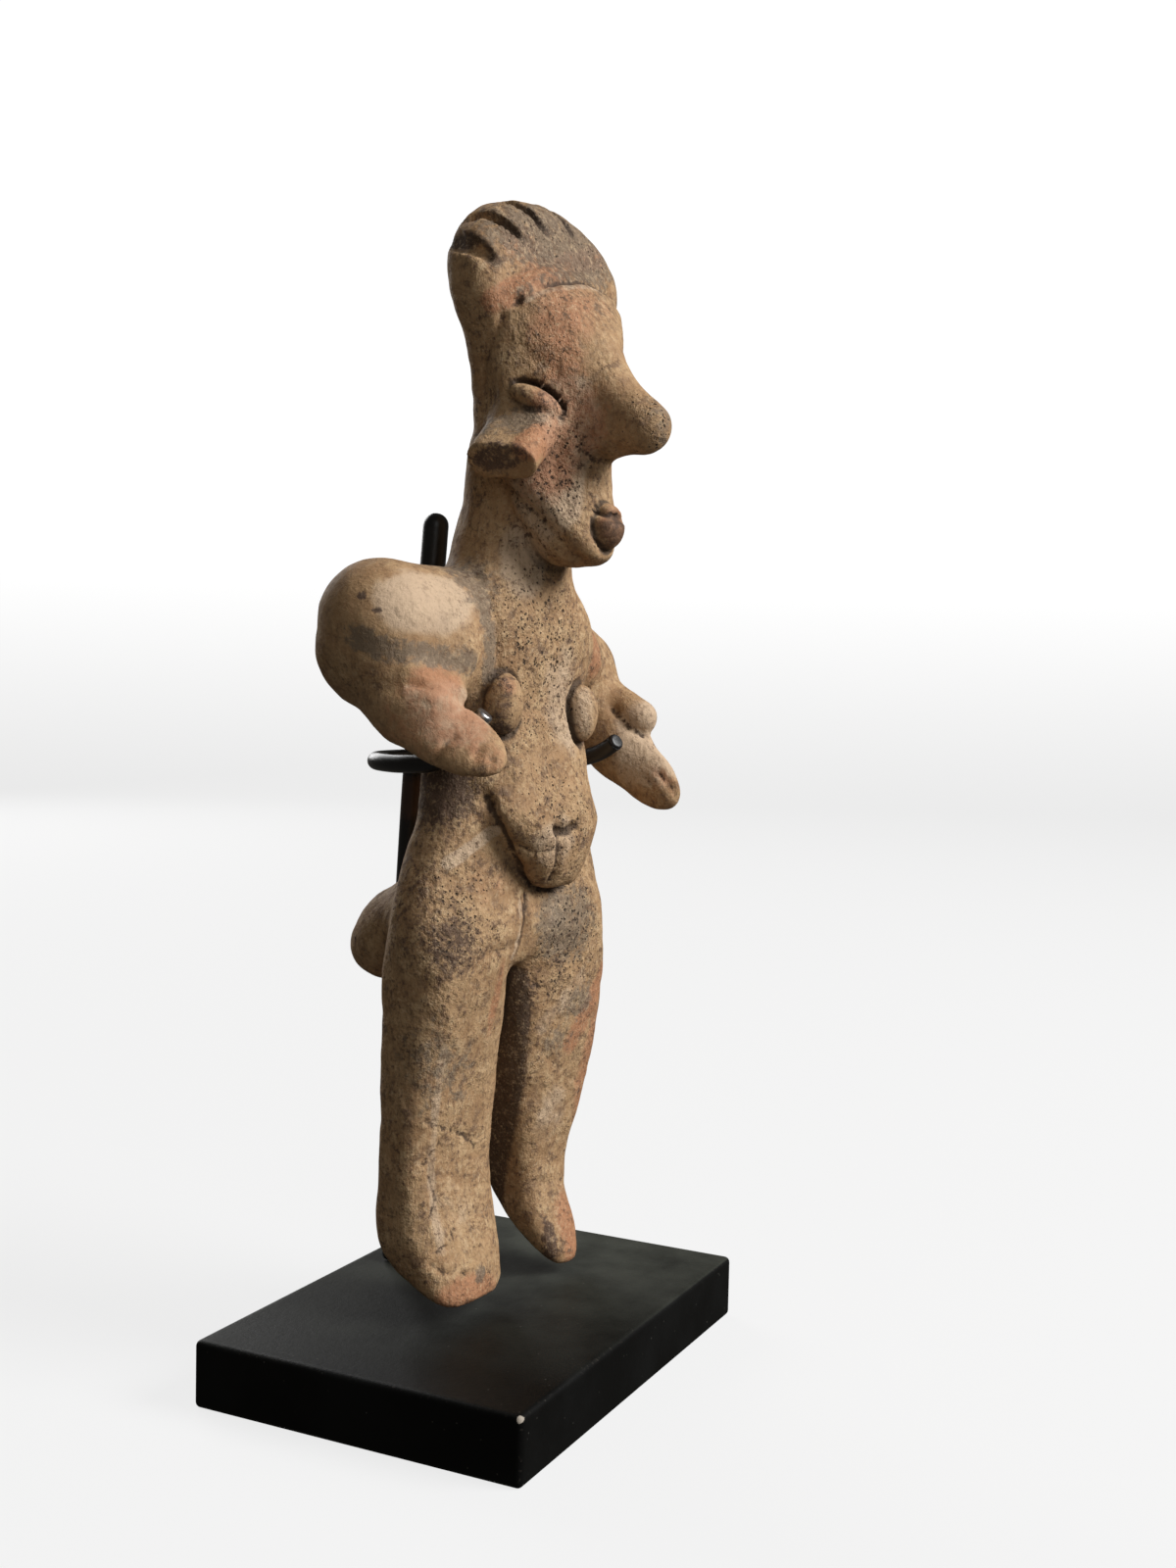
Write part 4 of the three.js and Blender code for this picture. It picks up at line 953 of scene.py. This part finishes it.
def add_rod(name, points, faces, bare, clay_reflection):
    """Rod with its bare steel and its painted reflection of the clay."""
    rod = make_mesh(name, to_row(points), faces, {"bare": bare, "clay_reflection": clay_reflection})
    rod.data.materials.append(black_rod)
    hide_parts("rod_mount")
    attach(rod, "root")


path = centripetal(POST, RINGS)
radii = POST_RADIUS + THICKER * np.clip((path[:, 2] - TAPER) / TAPER_LENGTH, 0, 1)
points, faces = tube(path, radii, dome=True)
# painted reflection of the clay, about one height on the post
clay_reflection = np.exp(-((points[:, 2] - REFLECTION_HEIGHT) / REFLECTION_SPREAD) ** 2)
add_rod("post_rod", points, faces, np.zeros(len(points)), clay_reflection)

path = centripetal(YOKE, RINGS)
points, faces = tube(path, np.full(len(path), YOKE_RADIUS))
ends = [np.linalg.norm(points - end, axis=1) < reach for end, reach in zip((path[0], path[-1]), BARE_ENDS)]
add_rod("yoke_rod", points, faces, np.maximum(*ends), np.zeros(len(points)))

# The plinth

# Spacing of its mesh, reach of the wear along its edges, and the spot and radius of its bare corner
STEP, WEAR = 1.4, 1.3
CHIP, CHIP_RADIUS = (-WIDTH / 2 + 0.4, -DEPTH / 2 + 0.4, HEIGHT - 0.4), 0.7


def plinth_mesh():
    """Slab with rounded edges, divided finely enough to carry its wear."""
    bm = bmesh.new()
    bmesh.ops.create_cube(bm, size=1)
    bmesh.ops.scale(bm, vec=(WIDTH, DEPTH, HEIGHT), verts=bm.verts)
    bmesh.ops.translate(bm, vec=(0, 0, HEIGHT / 2), verts=bm.verts)
    bmesh.ops.bevel(bm, geom=bm.edges[:], offset=EDGE, segments=5, profile=0.5, affect="EDGES")
    for axis, size, low in ((0, WIDTH, -WIDTH / 2), (1, DEPTH, -DEPTH / 2), (2, HEIGHT, 0)):
        steps = int(size / STEP)
        for i in range(1, steps):
            at = [0, 0, 0]
            at[axis] = low + size * i / steps
            way = [0, 0, 0]
            way[axis] = 1
            everything = bm.verts[:] + bm.edges[:] + bm.faces[:]
            bmesh.ops.bisect_plane(bm, geom=everything, plane_co=at, plane_no=way)
    bm.verts.index_update()
    points = np.array([v.co[:] for v in bm.verts])
    faces = [[v.index for v in face.verts] for face in bm.faces]
    bm.free()
    return points, faces


points, faces = plinth_mesh()
reach = np.stack([WIDTH / 2 - np.abs(points[:, 0]), DEPTH / 2 - np.abs(points[:, 1]),
                  np.minimum(points[:, 2], HEIGHT - points[:, 2])], -1)
reach.sort(axis=1)
worn = np.clip(1 - (reach[:, 0] + reach[:, 1]) / WEAR, 0, 1) * 0.8
bare = np.exp(-(np.linalg.norm(points - CHIP, axis=1) / CHIP_RADIUS) ** 2) * 1.1
# dust and a painted sheen on top, fainter towards the bare corner
dust_and_sheen = (points[:, 2] > HEIGHT - EDGE * 0.4) * np.clip(0.42 + points @ (0.012, 0.004, 0), 0, 1)
plinth = make_mesh("plinth_block", points * MM, faces, {"worn": worn, "bare": bare, "dust_and_sheen": dust_and_sheen})
plinth.data.materials.append(plinth_material())
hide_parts("plinth")
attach(plinth, "root")

# Floor, lights and camera, in metres

# Where the floor starts and turns up, the radius of the turn, the wall's top and half the width
FLOOR_NEAR, FLOOR_FAR, TURN_RADIUS, WALL_TOP, HALF_WIDTH = -3.0, 1.2, 0.8, 3.5, 3.5
TURN_STEPS = 24
# Brightness of the floor, what the wall adds to it, and the height over which it comes in
FLOOR_GLOW, WALL_GLOW, WALL_BLEND = 0.80, 0.22, 0.25


def backdrop_mesh():
    """Floor that sweeps up into a wall behind the object, as the camera sees it."""
    profile = [(FLOOR_NEAR, 0.0), (FLOOR_FAR, 0.0)]
    for k in range(1, TURN_STEPS + 1):
        a = math.pi / 2 * k / TURN_STEPS
        profile.append((FLOOR_FAR + TURN_RADIUS * math.sin(a), TURN_RADIUS * (1 - math.cos(a))))
    profile.append((FLOOR_FAR + TURN_RADIUS, WALL_TOP))
    away = np.array([0.8966, 0.4428, 0])
    across = np.array([away[1], -away[0], 0])
    sides = (-HALF_WIDTH, HALF_WIDTH)
    points = [away * d + across * w + np.array([0, 0, h]) for d, h in profile for w in sides]
    faces = [(2 * i, 2 * i + 1, 2 * i + 3, 2 * i + 2) for i in range(len(profile) - 1)]
    return np.array(points), faces


points, faces = backdrop_mesh()
floor = make_mesh("floor", points, faces, {"wall": np.clip(points[:, 2] / WALL_BLEND, 0, 1)})
g = Graph("pale_floor")
glow = g.plus(FLOOR_GLOW, g.times(g.mask("wall"), WALL_GLOW))
floor.data.materials.append(g.surface(Base_Color=(0.1, 0.1, 0.1), Roughness=0.95, Specular_IOR_Level=0.0,
                                      Emission_Color=(1, 1, 1), Emission_Strength=glow))
floor.visible_diffuse = False
floor.visible_glossy = False

# Lights: name, place, width, power. Each is turned to the middle of the object.
MIDDLE = Vector((0, 0, 0.09))
LIGHTS = (
    ("key", (0.20, -0.88, 0.72), 0.6, 15.6),
    ("fill", (-0.72, -0.70, 0.42), 0.7, 1.3),
    ("back", (0.55, 0.92, 0.55), 0.7, 6.5),
)
for name, place, width, power in LIGHTS:
    light = bpy.data.lights.new(name, "AREA")
    light.shape = "DISK"
    light.size = width
    light.energy = power
    lamp = bpy.data.objects.new(name, light)
    lamp.location = place
    lamp.rotation_euler = (MIDDLE - Vector(place)).to_track_quat("-Z", "Y").to_euler()
    bpy.context.collection.objects.link(lamp)

# The world lights the object with a weak warm glow, and looks pale beyond the floor's edge.
WORLD_TINT, WORLD_POWER, WORLD_PALE = (1, 0.93, 0.82, 1), 0.085, (0.9, 0.9, 0.9, 1)
world = bpy.data.worlds.new("studio")
world.use_nodes = True
tree = world.node_tree
warm = tree.nodes["Background"]
warm.inputs["Color"].default_value = WORLD_TINT
warm.inputs["Strength"].default_value = WORLD_POWER
pale = tree.nodes.new("ShaderNodeBackground")
pale.inputs["Color"].default_value = WORLD_PALE
seen = tree.nodes.new("ShaderNodeLightPath")
both = tree.nodes.new("ShaderNodeMixShader")
tree.links.new(seen.outputs["Is Camera Ray"], both.inputs[0])
tree.links.new(warm.outputs[0], both.inputs[1])
tree.links.new(pale.outputs[0], both.inputs[2])
tree.links.new(both.outputs[0], tree.nodes["World Output"].inputs["Surface"])
bpy.context.scene.world = world
bpy.context.scene.view_settings.view_transform = "Standard"

# The photograph's point of view: its lens, its place, and which ways right, up and back lie
FOCAL, SENSOR = 40, 36
VIEW_PLACE = (-0.2336549, -0.1316989, 0.1066498)
VIEW_RIGHT = (0.44385726, -0.8958189, 0.0223437)
VIEW_UP = (0.0437378, 0.04656231, 0.99795739)
VIEW_BACK = (-0.89502946, -0.44197337, 0.05984817)
camera_data = bpy.data.cameras.new("camera")
camera_data.lens = FOCAL
camera_data.sensor_width = SENSOR
camera_data.sensor_fit = "AUTO"
camera_data.clip_start = 0.01
camera = bpy.data.objects.new("camera", camera_data)
rows = zip(VIEW_RIGHT, VIEW_UP, VIEW_BACK, VIEW_PLACE)
camera.matrix_world = Matrix([*rows, (0, 0, 0, 1)])
bpy.context.collection.objects.link(camera)
bpy.context.scene.camera = camera
